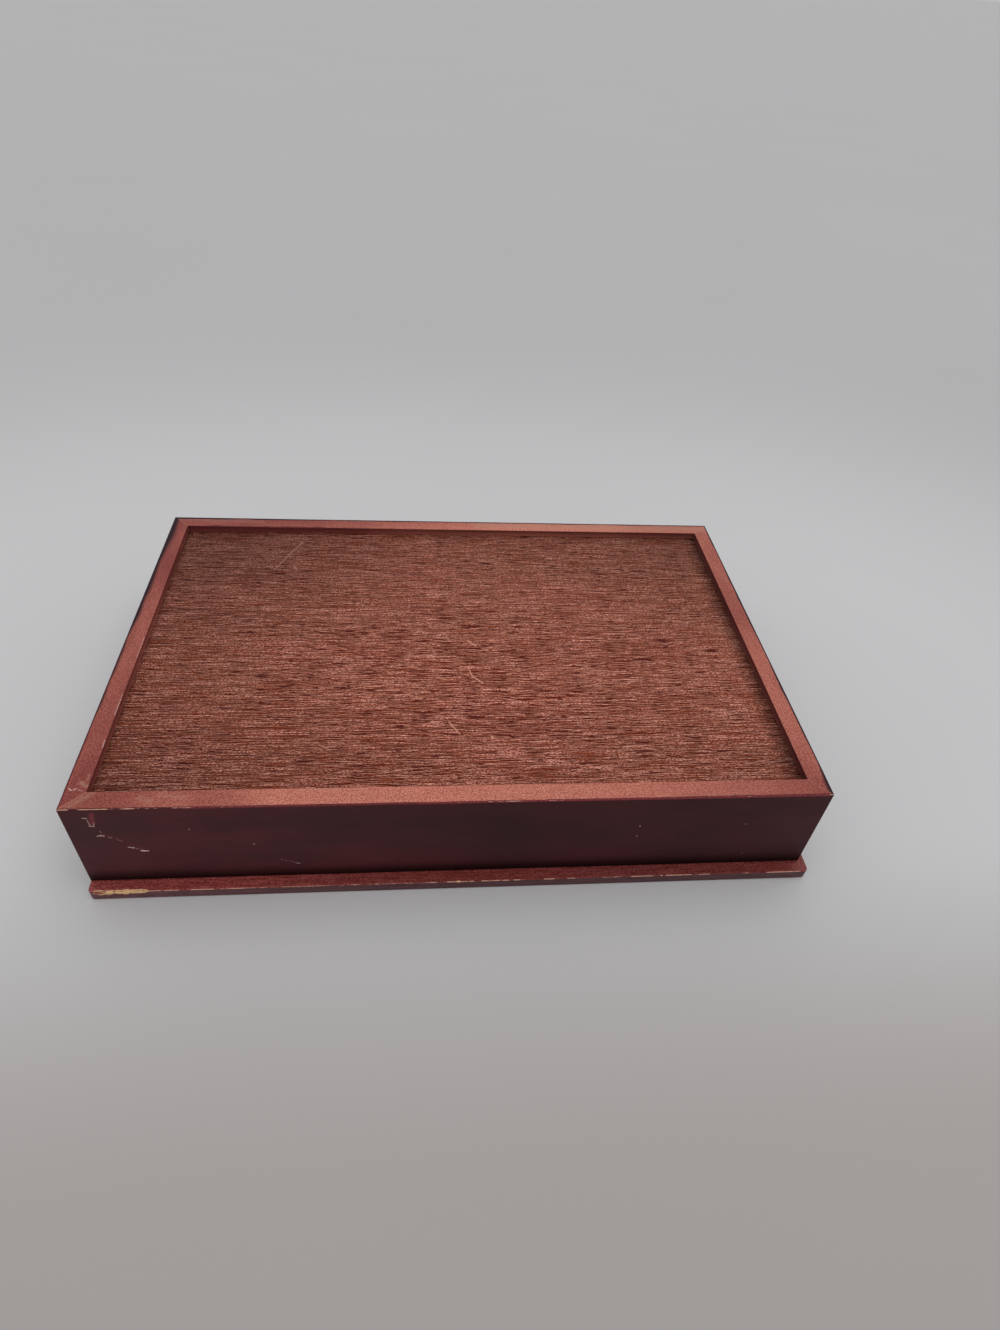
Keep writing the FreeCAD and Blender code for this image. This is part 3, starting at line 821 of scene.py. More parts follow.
def tube_faces(rings, rows, closed_rings=False):
    """Faces of a sheet of rings by rows, whose rows go round; rings go round too if closed."""
    faces = []
    for ring in range(rings if closed_rings else rings - 1):
        here, there = ring * rows, (ring + 1) % rings * rows
        for row in range(rows):
            after = (row + 1) % rows
            faces.append((here + row, there + row, there + after, here + after))
    return faces


def make_plain(thing):
    """Turns an object's modifiers into plain mesh and removes them."""
    graph = bpy.context.evaluated_depsgraph_get()
    solved = thing.evaluated_get(graph)
    mesh = bpy.data.meshes.new_from_object(solved, preserve_all_data_layers=True, depsgraph=graph)
    thing.modifiers.clear()
    old = thing.data
    thing.data = mesh
    mesh.name = thing.name
    bpy.data.meshes.remove(old)
    return thing


def finish_piece(thing, body, slot, material, *nodes):
    """Gives a piece its material and body, and hides the nodes it stands for; its slot is not used."""
    if material is not None:
        thing.data.materials.clear()
        thing.data.materials.append(material)
    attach(thing, body)
    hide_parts(*nodes)


# Walls

# Worn stretches of the outer base arris, along each wall with the box on its left: start and length in
# millimetres, then strength
OUTER_WEAR = {
    "front_wall": ((0, 28, 1.0), (28, 20, 0.75), (48, 24, 0.55), (72, 26, 0.5), (98, 40, 0.4),
                   (150, 3, 0.6), (162, 14, 0.8), (186, 12, 0.7), (200, 60, 0.3), (268, 5, 0.7),
                   (293, 12, 0.9)),
    "right_wall": ((0, 9, 0.5), (60, 18, 0.25), (150, 22, 0.25)),
    "back_wall": ((20, 19, 0.4), (64, 22, 0.4), (140, 16, 0.35), (230, 24, 0.35)),
    "left_wall": ((120, 30, 0.25), (193, 9, 0.6)),
}
# Splintered stretches of the inner base arris: start, length and depth in millimetres
INNER_CHIPS = {
    "front_wall": ((100, 8, 0.15),),
    "right_wall": ((60, 10, 0.15),),
    "back_wall": ((30, 40, 0.15), (150, 70, 0.25), (226, 68, 0.45)),
    "left_wall": ((130, 45, 0.2),),
}
# Width of the dark line along the outer arris, and of the fade beside it: share of the length, then mm
DARK_LINES = {
    "front_wall": ((0, 0.05), (0.7, 0.1), (1, 0.15)),
    "right_wall": ((0, 0.35), (1, 0.3)),
    "back_wall": ((0, 0.45), (0.6, 0.55), (1, 0.9)),
    "left_wall": ((0, 1.2), (0.15, 0.8), (0.3, 0.6), (0.55, 0.3), (0.75, 0.12), (1, 0.06)),
}
DARK_FADES = {
    "front_wall": ((0, 0.15), (1, 0.3)),
    "right_wall": ((0, 2.4), (0.1, 0.6), (1, 0.4)),
    "back_wall": ((0, 0.3), (1, 0.8)),
    "left_wall": ((0, 2.4), (0.5, 1.4), (1, 0.3)),
}
# Painted light and shade on each wall's face above the bottom sheet, as a share of the rubbed colour: lighter
# where the face is turned to the light, darker where it is turned away; share of the length, then level
RECESS_LIGHT_AND_SHADE = {
    "front_wall": ((0, 0.4), (1, 0.4)),
    "right_wall": ((0, 0.45), (1, 0.5)),
    "back_wall": ((0, 0.9), (0.55, 0.95), (0.8, 1.0), (1, 1.0)),
    "left_wall": ((0, 0.9), (0.6, 1.1), (1, 1.1)),
}
# How far handling has rubbed the base edge of each wall, with painted light in the same level: a painted
# sheen along the middle of the front edge, and edges lighter on the right and darker on the left as the light
# falls; share of the length, then level
RUBBED_AND_LIT = {
    "front_wall": ((0, 0.2), (0.05, 0.14), (0.12, 0.32), (0.16, 0.28), (0.2, 0.4), (0.26, 0.9),
                   (0.6, 0.92), (0.7, 0.64), (0.8, 0.66), (0.85, 0.52), (0.92, 0.26), (1, 0.0)),
    "right_wall": ((0, 0.0), (0.08, 0.35), (0.25, 0.5), (0.4, 0.56), (0.55, 0.28), (0.7, 0.36), (1, 0.55)),
    "back_wall": ((0, 0.5), (0.08, 0.5), (0.14, 0.4), (0.2, 0.8), (0.35, 0.8), (0.5, 0.68), (0.6, 0.3),
                  (0.75, 0.0), (1, -0.1)),
    "left_wall": ((0, 0.05), (0.12, 0.1), (0.2, -0.08), (0.4, 0.22), (0.6, 0.26), (0.75, 0.28),
                  (0.85, 0.2), (1, -0.12)),
}
# How much more the base edge of each wall is rubbed along its inner arris
INNER_RUBS = {"front_wall": 0.0, "right_wall": 0.0, "back_wall": 0.22, "left_wall": 0.0}
# Share of the wear that shows across a rounded arris, from the outer face to the base edge
ARRIS_WEAR = np.array((0.0, 0.1, 0.7, 1.0, 0.8, 0.2, 0.0))
# Places of the rows across the base edge, from the dark line to the inner arris
BASE_EDGE_SHARES = np.array((0.3, 0.65, 1.0))
# Share of the recess's painted light and shade across the inner arris, from the base edge to the recess
INNER_ARRIS_TONES = np.array((0.0, 0.0, 0.15, 0.6, 1.0))
# Places of the rows on the recess's face, from the arris to the sheet, and their shares of its tone, with
# painted shade darkest under the arris
RECESS_SHARES = (0.1, 0.5, 1.0)
RECESS_PAINTED_SHADE = np.array((0.3, 0.65, 1.0))
# Places of the rows on the inner face, from the groove to the rim, and on the outer one, back up to the arris
INNER_FACE_SHARES = (0.0, 0.25, 0.5, 0.75, 0.98)
OUTER_FACE_SHARES = (0.01, 0.2, 0.4, 0.6, 0.8, 0.95, 0.995)
# Width at which a dark line is fully dark, depth at which a splinter is fully torn and takes the recess's
# painted shade, and flat beside the inner arris
FULL_DARK = 0.4 * MM
FULL_TEAR = 0.5 * MM
INNER_MARGIN = 0.2 * MM
# Wear on the upright corners, and how far apart the walls lie in the grain's noise, along and across
CORNER_WEAR = 0.45
GRAIN_APART = (0.7, 0.1)


def wall_stations(length, sizes):
    """Places along a wall, close together at its corners."""
    corner = np.linspace(0, 2 * sizes.corner_radius, CORNER_STEPS + 1)
    count = int((length - 4 * sizes.corner_radius) / sizes.station_step)
    middle = np.linspace(corner[-1], length - corner[-1], count)
    return np.concatenate([corner[:-1], middle, length - corner[-2::-1]])


def wall_rows(name, stations, sizes):
    """Depth into the wall, height, wear, share of base edge and dark line of every lengthwise row."""
    seed = WALL_NODES.index(name) * 10
    low, high, thick = BOX_LOW.z, BOX_HIGH.z, WALL_THICKNESS
    groove_low = SHEET_LOW.z - sizes.groove_clearance
    groove_high = SHEET_HIGH.z + sizes.groove_clearance
    shares = np.linspace(0, 1, len(stations))
    ones = np.ones((len(stations), 1))
    front, back, top, rim = 0 * ones, thick * ones, high * ones, sizes.rim_arris * ones
    worn = stretches(stations, OUTER_WEAR[name]) * broken(stations, seed)
    outer = sizes.outer_arris + (worn * sizes.wear_depth)[:, None]
    inner_loss = splinters(stations, INNER_CHIPS[name], seed + 2)
    inner = sizes.inner_arris + inner_loss[:, None]
    wobble = uneven(stations, 1, DARK_LINE_WAVES, seed + 3)
    line, fade = (levels_at(shares, table[name]) * wobble * MM for table in (DARK_LINES, DARK_FADES))
    dark_end = outer + line[:, None]
    fade_end = dark_end + fade[:, None]
    dark = np.clip(line / FULL_DARK, 0, 1)[:, None]
    rubbed = 1.0 + INNER_RUBS[name] * BASE_EDGE_SHARES
    chip_shade = np.clip(inner_loss / FULL_TEAR, 0, 1)[:, None]
    # Painted light and shade on the recess face, carried in the base_edge values; chipped rows of the inner
    # arris take its painted shade
    recess = levels_at(shares, RECESS_LIGHT_AND_SHADE[name])[:, None] * RECESS_PAINTED_SHADE
    change = np.minimum(recess[:, :1], 1.0) - rubbed[-1]
    inner_tones = rubbed[-1] + change * np.maximum(INNER_ARRIS_TONES, chip_shade)
    groove_floor = (thick - sizes.groove_depth) * ones
    rows = BoardRows("wear", "base_edge", "dark_line")
    rows.add(*quarter(outer, high - outer, outer, outer, 180, 90, len(ARRIS_WEAR)),
             wear=worn[:, None] * ARRIS_WEAR, dark_line=0.8 * dark)
    rows.add(dark_end, top, base_edge=0.1, dark_line=dark)
    rows.add((dark_end + fade_end) / 2, top, base_edge=0.75, dark_line=0.4 * dark)
    rows.add(fade_end, top, base_edge=1.0)
    rows.add(*between((fade_end, top), (thick - inner - INNER_MARGIN, top), BASE_EDGE_SHARES),
             base_edge=rubbed)
    rows.add(*quarter(thick - inner, high - inner, inner, inner, 90, 0, len(INNER_ARRIS_TONES)),
             base_edge=inner_tones)
    rows.add(*between((back, high - inner), (back, groove_high * ones), RECESS_SHARES), base_edge=recess)
    rows.add(groove_floor, groove_high * ones)
    rows.add(groove_floor, groove_low * ones)
    rows.add(*between((back, groove_low * ones), (back, low + rim), INNER_FACE_SHARES))
    rows.add(*quarter(thick - rim, low + rim, rim, rim, 0, -90, RIM_ROWS))
    rows.add(*quarter(rim, low + rim, rim, rim, -90, -180, RIM_ROWS))
    rows.add(*between((front, low + rim), (front, high - outer), OUTER_FACE_SHARES))
    return rows.joined()


def wall_board(name, sizes):
    """One mitred wall with worn arrises, from its outer corner along its length."""
    turn = WALL_NODES.index(name)
    turned = Matrix.Rotation(turn * math.pi / 2, 3, "Z")
    along, inward = turned @ Vector((1, 0, 0)), turned @ Vector((0, 1, 0))
    corner = Vector((BOX_HIGH.x if turn in (1, 2) else BOX_LOW.x,
                     BOX_HIGH.y if turn in (2, 3) else BOX_LOW.y, 0))
    length = (BOX_HIGH - BOX_LOW)[turn % 2]
    stations = wall_stations(length, sizes)
    rows_of = wall_rows(name, stations, sizes)
    depth = rows_of["depth"]
    radius = sizes.corner_radius
    start = np.maximum(depth, radius * (1 - math.sqrt(0.5)))
    reach = start + stations[:, None] * (length - 2 * start) / length
    near = np.minimum(reach, length - reach)
    eased = radius - np.sqrt(np.clip(radius ** 2 - np.clip(radius - near, 0, None) ** 2, 0, None))
    corner_wear = np.where((depth < eased) & (near < radius), CORNER_WEAR, 0.0)
    depth = np.maximum(depth, eased)
    points = np.array(corner) + reach[..., None] * np.array(along) + depth[..., None] * np.array(inward)
    points[..., 2] = rows_of["height"]
    rings, rows = depth.shape
    faces = tube_faces(rings, rows) + [tuple(range(rows)), tuple(range((rings - 1) * rows, rings * rows))]
    # Rubbing and painted sheen of the base edge, plus the painted light of recess rows above the full rubbed
    # colour
    handled = levels_at(reach / length, RUBBED_AND_LIT[name]) + np.maximum(rows_of["base_edge"] - 1, 0)
    values = {"wear": np.maximum(rows_of["wear"], corner_wear), "base_edge": rows_of["base_edge"],
              "dark_line": rows_of["dark_line"], "mitre": near - depth, "handled": handled}
    board = mesh_object(f"{name}_board", points.reshape(-1, 3), faces, values)
    if name == "back_wall":
        cut_hinge_recesses(board, 1, "wall", sizes)
    lay_grain(board.data, corner, along, inward, turn)
    return board


def lay_grain(mesh, corner, along, inward, turn):
    """Stores each point's place along, into and up its board, with each board in a place of its own."""
    places = np.empty(len(mesh.vertices) * 3, np.float32)
    mesh.vertices.foreach_get("co", places)
    offset = places.reshape(-1, 3) - np.array(corner)
    apart_along, apart_across = (turn * distance for distance in GRAIN_APART)
    board = np.stack([offset @ along + apart_along, offset @ inward + apart_across, offset[:, 2]], 1)
    layer = mesh.attributes.new("board", "FLOAT_VECTOR", "POINT")
    layer.data.foreach_set("vector", np.ascontiguousarray(board, np.float32).ravel())


# Hinge recesses

COVE_SIDES = 32


def block_cutter(name, low, high):
    """A box that cuts the gain of a leaf."""
    cube = bmesh.new()
    bmesh.ops.create_cube(cube, size=1.0)
    for corner in cube.verts:
        corner.co = Vector((a if c < 0 else b) for a, b, c in zip(low, high, corner.co))
    return cutter_object(name, cube)


def rod_cutter(name, low_x, high_x, radius):
    """A rod along the hinge axis that cuts the cove of a barrel."""
    rod = bmesh.new()
    bmesh.ops.create_cone(rod, cap_ends=True, segments=COVE_SIDES, radius1=radius, radius2=radius,
                          depth=high_x - low_x)
    bmesh.ops.rotate(rod, verts=rod.verts, matrix=Matrix.Rotation(math.pi / 2, 3, "Y"))
    bmesh.ops.translate(rod, verts=rod.verts, vec=((low_x + high_x) / 2, HINGE_AXIS.y, HINGE_AXIS.z))
    return cutter_object(name, rod)


def cutter_object(name, shape):
    """A temporary object from a bmesh."""
    mesh = bpy.data.meshes.new(name)
    shape.to_mesh(mesh)
    shape.free()
    return scene_object(name, mesh)


def cut_hinge_recesses(board, way, leaf_name, sizes):
    """Cuts the gains and coves of both hinges into a board, upwards or downwards from the hinge axis."""
    cutters = []
    far = sizes.leaf_gap / 2 + sizes.leaf_thickness
    for side in HINGE_SIDES:
        leaf_low, leaf_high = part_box(f"{side}_hinge_{leaf_name}_leaf")
        pin_low, pin_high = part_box(f"{side}_hinge_pin")
        levels = sorted((HINGE_AXIS.z, HINGE_AXIS.z + way * far))
        low = (leaf_low.x - sizes.leaf_clearance, leaf_low.y - sizes.leaf_clearance, levels[0])
        high = (leaf_high.x + sizes.leaf_clearance, HINGE_AXIS.y, levels[1])
        cutters.append(block_cutter(f"{side}_gain", low, high))
        barrel = leaf_high.z - HINGE_AXIS.z + sizes.cove_clearance
        cutters.append(rod_cutter(f"{side}_cove", pin_low.x - sizes.cove_clearance,
                                  pin_high.x + sizes.cove_clearance, barrel))
    for cutter in cutters:
        cut = board.modifiers.new(cutter.name, "BOOLEAN")
        cut.operation = "DIFFERENCE"
        cut.solver = "EXACT"
        cut.object = cutter
    make_plain(board)
    for cutter in cutters:
        mesh = cutter.data
        bpy.data.objects.remove(cutter)
        bpy.data.meshes.remove(mesh)
    board.data.set_sharp_from_angle(angle=SHARP_ANGLE)


# Lid

# Chips along the lid's inner arris: place along the front edge, length, inset and drop in millimetres
LID_CHIPS = ((-0.6, 9.4, 0.9, 1.8), (7.6, 7.4, 0.8, 1.3), (13.6, 8.2, 0.7, 0.85), (148.2, 1.9, 0.3, 0.9))
# Worn stretches of the same arris: start and length in millimetres, then strength
LID_WEAR = (
    (0, 60, 0.9), (60, 77, 0.62), (137, 3, 0.9), (143.6, 12.5, 1.0), (158.8, 12.2, 1.0), (173, 4.6, 0.95),
    (186.2, 4.5, 1.0), (196.4, 4, 0.7), (211.6, 9, 0.6), (224.5, 10, 0.85), (237.5, 1.4, 1.0),
    (240, 12, 1.0), (254.6, 6, 0.7), (275.5, 2.5, 0.9), (286, 18, 0.95), (320, 60, 0.5), (420, 200, 0.5),
    (700, 250, 0.5),
)
# The same for the arris that the lid lies on
LID_FOOT_WEAR = ((300, 7, 0.8),)
# Share of the wear and of the chips that shows across the inner arris, and of the wear across the other one
LID_ARRIS_WEAR = np.array((0.0, 0.45, 0.95, 1.0, 0.95, 0.45, 0.0))
LID_ARRIS_CHIPS = np.array((0.3, 1, 1, 1, 1, 1, 0.6))
LID_FOOT_SHARES = np.array((0.7, 1.0, 0.7, 0.0, 0.0))
# Wood lost to wear, inwards and downwards, and inset at which a chip is fully bare
LID_WORN_INSET, LID_WORN_DROP = 0.12 * MM, 0.15 * MM
FULL_CHIP = 0.1 * MM
# Easing of the inner arris as a share of the other one's
LID_INNER_EASING = 0.75
# Places of the rows on the edge of the lid, from the inner arris to the other one
LID_SIDE_SHARES = (0.5, 0.95)
# Distances from an arris to the rows beside it
LID_NEAR_ROW, LID_FACE_ROW, LID_FOOT_ROW = 0.12 * MM, 0.4 * MM, 0.3 * MM
LID_WEAR_SEED, LID_CHIP_SEED = 51, 53


def plan_direction(degrees):
    """A direction in plan."""
    return np.array([math.cos(math.radians(degrees)), math.sin(math.radians(degrees))])


def lid_outline(sizes):
    """Points and outward directions round the lid, from the front's left end, and the distance walked."""
    low, high, radius = LID_LOW, LID_HIGH, sizes.lid_corner
    corners = [(high.x, low.y, -90), (high.x, high.y, 0), (low.x, high.y, 90), (low.x, low.y, 180)]
    begin = np.array([low.x + radius, low.y])
    points, outward = [], []
    for x, y, start in corners:
        centre = np.array([x - math.copysign(radius, x), y - math.copysign(radius, y)])
        first = plan_direction(start)
        goal = centre + radius * first
        count = int(np.linalg.norm(goal - begin) / sizes.station_step)
        for share in np.linspace(0, 1, count, endpoint=False):
            points.append(begin + (goal - begin) * share)
            outward.append(first)
        for degrees in np.linspace(start, start + 90, CORNER_STEPS, endpoint=False):
            points.append(centre + radius * plan_direction(degrees))
            outward.append(plan_direction(degrees))
        begin = centre + radius * plan_direction(start + 90)
    points, outward = np.array(points), np.array(outward)
    steps = np.linalg.norm(np.diff(points, axis=0), axis=1)
    return points, outward, np.concatenate([[0], np.cumsum(steps)])


def lid_board(sizes):
    """The lid with its arris worn and chipped along the front."""
    outline, outward, walked = lid_outline(sizes)
    low, high = LID_LOW.z, LID_HIGH.z
    ones = np.ones((len(walked), 1))
    side, top, under = 0 * ones, high * ones, sizes.lid_arris * ones
    worn = stretches(walked, LID_WEAR) * broken(walked, LID_WEAR_SEED)
    foot_worn = stretches(walked, LID_FOOT_WEAR)
    ragged = uneven(walked, 1, CHIP_WAVES, LID_CHIP_SEED)
    inset_chip = chips(walked, [(start, length, inset) for start, length, inset, _ in LID_CHIPS]) * ragged
    drop_chip = chips(walked, [(start, length, drop) for start, length, _, drop in LID_CHIPS]) * ragged
    chipped = np.clip(inset_chip / FULL_CHIP, 0, 1)
    eased = sizes.lid_arris * LID_INNER_EASING
    inset = eased + np.maximum(inset_chip, worn * LID_WORN_INSET)[:, None]
    drop = eased + np.maximum(drop_chip, worn * LID_WORN_DROP)[:, None]
    below = high - drop - LID_NEAR_ROW
    lengthwise = BoardRows("wear", "chip")
    lengthwise.add(inset + LID_FACE_ROW, top)
    lengthwise.add(inset + LID_NEAR_ROW, top)
    lengthwise.add(*quarter(inset, high - drop, -inset, drop, 90, 0, len(LID_ARRIS_WEAR)),
                   wear=worn[:, None] * LID_ARRIS_WEAR, chip=chipped[:, None] * LID_ARRIS_CHIPS)
    lengthwise.add(side, below)
    lengthwise.add(*between((side, below), (side, low + under), LID_SIDE_SHARES))
    lengthwise.add(*quarter(under, low + under, -under, under, 0, -90, len(LID_FOOT_SHARES)),
                   wear=foot_worn[:, None] * LID_FOOT_SHARES)
    lengthwise.add(under + LID_FOOT_ROW, low * ones)
    rows_of = lengthwise.joined()
    rings, rows = rows_of["depth"].shape
    points = np.empty((rings, rows, 3))
    points[..., :2] = outline[:, None, :] - rows_of["depth"][..., None] * outward[:, None, :]
    points[..., 2] = rows_of["height"]
    faces = [face for face in tube_faces(rings, rows, closed_rings=True) if abs(face[0] - face[3]) == 1]
    faces += [tuple(range(0, rings * rows, rows)), tuple(range(rows - 1, rings * rows, rows))]
    values = {"wear": rows_of["wear"], "chip": rows_of["chip"]}
    return mesh_object("lid_board", points.reshape(-1, 3), faces, values)


# Bottom sheet

# Points of its fine grid, across the grain and along it
SHEET_ROWS = 1080
SHEET_COLUMNS = 84
# Cells of its raised fibres, along, across and deep, and how close to the outer face a point must be to move
FIBRE_CELLS = (20 * MM, 1.6 * MM, 20 * MM)
FACE_REACH = 0.01 * MM


def plain_sheet():
    """The bottom sheet before its pores are cut: a fine grid outside, one flat face inside."""
    x = np.linspace(SHEET_LOW.x, SHEET_HIGH.x, SHEET_COLUMNS)
    y = np.linspace(SHEET_LOW.y, SHEET_HIGH.y, SHEET_ROWS)
    grid_x, grid_y = np.meshgrid(x, y)
    top = np.stack([grid_x, grid_y, np.full_like(grid_x, SHEET_HIGH.z)], -1).reshape(-1, 3)
    index = np.arange(SHEET_ROWS * SHEET_COLUMNS).reshape(SHEET_ROWS, SHEET_COLUMNS)
    quads = np.stack([index[:-1, :-1], index[:-1, 1:], index[1:, 1:], index[1:, :-1]], -1).reshape(-1, 4)
    border = np.concatenate([index[0, :-1], index[:-1, -1], index[-1, :0:-1], index[:0:-1, 0]])
    below = top[border].copy()
    below[:, 2] = SHEET_LOW.z
    lower = len(top) + np.arange(len(border))
    sides = np.stack([border, lower, np.roll(lower, -1), np.roll(border, -1)], -1)
    faces = quads.tolist() + sides.tolist() + [lower[::-1].tolist()]
    return mesh_object("bottom_sheet", np.concatenate([top, below]), faces, {})


def new_tree(name, *sockets):
    """A geometry tree with input sockets of the given names, kinds and subtypes, and a material's."""
    tree = bpy.data.node_groups.new(name, "GeometryNodeTree")
    tree.interface.new_socket("Geometry", in_out="INPUT", socket_type="NodeSocketGeometry")
    for label, kind, subtype in sockets:
        tree.interface.new_socket(label, in_out="INPUT", socket_type=kind).subtype = subtype
    tree.interface.new_socket("Material", in_out="INPUT", socket_type="NodeSocketMaterial")
    tree.interface.new_socket("Geometry", in_out="OUTPUT", socket_type="NodeSocketGeometry")
    return tree, tree.nodes.new("NodeGroupInput").outputs


def pore_relief_tree(sizes):
    """Geometry nodes that sink the pores into the outer face of the sheet."""
    lengths = ((label, NUMBER, "DISTANCE") for label in ("Pore Depth", "Fibre Height", "Face Level"))
    tree, given = new_tree("pore_relief", *lengths)
    place = add_node(tree, "GeometryNodeInputPosition").outputs[0]
    level = axes_of(tree, place)["Z"]
    outside = maths(tree, "GREATER_THAN", level, minus(tree, given["Face Level"], FACE_REACH))
    pore = pore_field(tree, place, sizes)
    fibre = noise_value(tree, cells(tree, place, *FIBRE_CELLS))
    rise = times(tree, minus(tree, fibre, 0.75), given["Fibre Height"])
    sink = minus(tree, rise, times(tree, pore, given["Pore Depth"]))
    moved = add_node(tree, "GeometryNodeSetPosition", {"Geometry": given["Geometry"], "Selection": outside,
                                                       "Offset": vector(tree, z=sink)}).outputs[0]
    return end_tree(tree, moved, given["Material"])


def end_tree(tree, geometry, material):
    """Ends a geometry tree in Realize Instances and Set Material."""
    whole = add_node(tree, "GeometryNodeRealizeInstances", {"Geometry": geometry}).outputs[0]
    dressed = add_node(tree, "GeometryNodeSetMaterial", {"Geometry": whole, "Material": material}).outputs[0]
    tree.links.new(dressed, tree.nodes.new("NodeGroupOutput").inputs[0])
    return tree


def run_tree(thing, tree, **inputs):
    """Runs a geometry tree on an object, with its inputs by name, and leaves plain mesh."""
    modifier = thing.modifiers.new(tree.name, "NODES")
    modifier.node_group = tree
    for item in tree.interface.items_tree:
        label = item.name.replace(" ", "_")
        if item.in_out == "INPUT" and label in inputs:
            modifier[item.identifier] = inputs[label]
    return make_plain(thing)


# Screws

# Shares of a screw: its core, its tip, the length and the start of its thread, and the ridge by its pitch
CORE_SHARE, TIP_SHARE, THREAD_SHARE, THREAD_START, RIDGE_SHARE = 0.78, 0.45, 0.9, 0.55, 0.22
# Sides of a screw's head, of its shank and of the ridge of its thread
HEAD_SIDES, SHANK_SIDES, RIDGE_SIDES = 32, 20, 5


def screw_set_tree():
    """Geometry nodes that stand a slotted countersunk screw at each point, each turned its own way."""
    labels = ("Head Radius", "Shank Radius", "Length", "Slot Width", "Slot Depth", "Thread Pitch")
    tree, given = new_tree("slotted_screw_set", *((label, NUMBER, "DISTANCE") for label in labels),
                           ("Tilt", NUMBER, "ANGLE"), ("Seed", "NodeSocketInt", "NONE"))
    head_height = minus(tree, given["Head Radius"], given["Shank Radius"])
    head = add_node(tree, "GeometryNodeMeshCone", {
        "Vertices": HEAD_SIDES, "Radius Top": given["Head Radius"], "Radius Bottom": given["Shank Radius"],
        "Depth": head_height}).outputs["Mesh"]
    head = moved_along(tree, head, times(tree, head_height, -1.0))
    slot_size = vector(tree, times(tree, given["Head Radius"], 3.0), given["Slot Width"],
                       times(tree, given["Slot Depth"], 2.0))
    slot = add_node(tree, "GeometryNodeMeshCube", {"Size": slot_size}).outputs["Mesh"]
    head = add_node(tree, "GeometryNodeMeshBoolean", {"Mesh 1": head, "Mesh 2": slot},
                    operation="DIFFERENCE", solver="EXACT").outputs["Mesh"]
    core = times(tree, given["Shank Radius"], CORE_SHARE)
    shank_length = minus(tree, given["Length"], head_height)
    shank = add_node(tree, "GeometryNodeMeshCone", {
        "Vertices": SHANK_SIDES, "Radius Top": core, "Radius Bottom": times(tree, core, TIP_SHARE),
        "Depth": shank_length}).outputs["Mesh"]
    tip = times(tree, given["Length"], -1.0)
    shank = moved_along(tree, shank, tip)
    thread_length = times(tree, shank_length, THREAD_SHARE)
    helix = add_node(tree, "GeometryNodeCurveSpiral", {
        "Resolution": SHANK_SIDES, "Rotations": maths(tree, "DIVIDE", thread_length, given["Thread Pitch"]),
        "Start Radius": times(tree, core, THREAD_START), "End Radius": core,
        "Height": thread_length}).outputs["Curve"]
    ridge_radius = times(tree, given["Thread Pitch"], RIDGE_SHARE)
    ridge = add_node(tree, "GeometryNodeCurvePrimitiveCircle", {
        "Resolution": RIDGE_SIDES, "Radius": ridge_radius}).outputs["Curve"]
    thread = add_node(tree, "GeometryNodeCurveToMesh", {"Curve": helix, "Profile Curve": ridge,
                                                        "Fill Caps": True}).outputs["Mesh"]
    thread = moved_along(tree, thread, tip)
    join = tree.nodes.new("GeometryNodeJoinGeometry")
    for part in (head, shank, thread):
        tree.links.new(part, join.inputs[0])
    turn = add_node(tree, "FunctionNodeRandomValue", {"Max": (0.0, 0.0, math.pi), "Seed": given["Seed"]},
                    data_type="FLOAT_VECTOR").outputs[0]
    screws = add_node(tree, "GeometryNodeInstanceOnPoints", {
        "Points": given["Geometry"], "Instance": join.outputs[0],
        "Rotation": vector_maths(tree, "ADD", turn, vector(tree, given["Tilt"]))}).outputs[0]
    return end_tree(tree, screws, given["Material"])


def moved_along(tree, geometry, distance):
    """Geometry moved along the axis of the screw."""
    place = vector(tree, z=distance)
    return add_node(tree, "GeometryNodeTransform", {"Geometry": geometry, "Translation": place}).outputs[0]


def screw_set(name, part, up, sizes, material, seed):
    """The screws of both hinges in one part of the box, as one piece."""
    places = []
    for side in HINGE_SIDES:
        low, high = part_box(f"{side}_hinge_{part}_screws")
        head_radius = (high.y - low.y) / 2
        length = high.z - low.z
        middle = (low.y + high.y) / 2
        top = low.z if up else high.z
        places += [(low.x + head_radius, middle, top), (high.x - head_radius, middle, top)]
    mesh = bpy.data.meshes.new(name)
    mesh.from_pydata(places, [], [])
    thing = scene_object(name, mesh)
    tree = bpy.data.node_groups.get("slotted_screw_set") or screw_set_tree()
    run_tree(thing, tree, Head_Radius=head_radius, Shank_Radius=sizes.screw_shank, Length=length,
             Slot_Width=sizes.screw_slot, Slot_Depth=sizes.screw_slot_depth,
             Thread_Pitch=sizes.thread_pitch, Tilt=math.pi if up else 0.0, Seed=seed, Material=material)
    turn_outwards(thing.data)
    return thing


# Strength of the rubbing marks on the hinge leaves, their pins and the screws
LEAF_RELIEF, PIN_RELIEF, SCREW_RELIEF = 0.15, 0.3, 0.1


# Operators

class KEEPSAKE_OT_walls(bpy.types.Operator):
    """Build the four mitred walls with their worn arrises"""

    bl_idname = "keepsake.walls"
    bl_label = "Walls"

    def execute(self, context):
        sizes = context.scene.keepsake_sizes
        material = stained_wall_material(context.scene.keepsake_colours)
        for name in WALL_NODES:
            finish_piece(wall_board(name, sizes), "box", "stained_wall", material, name)
        return {"FINISHED"}


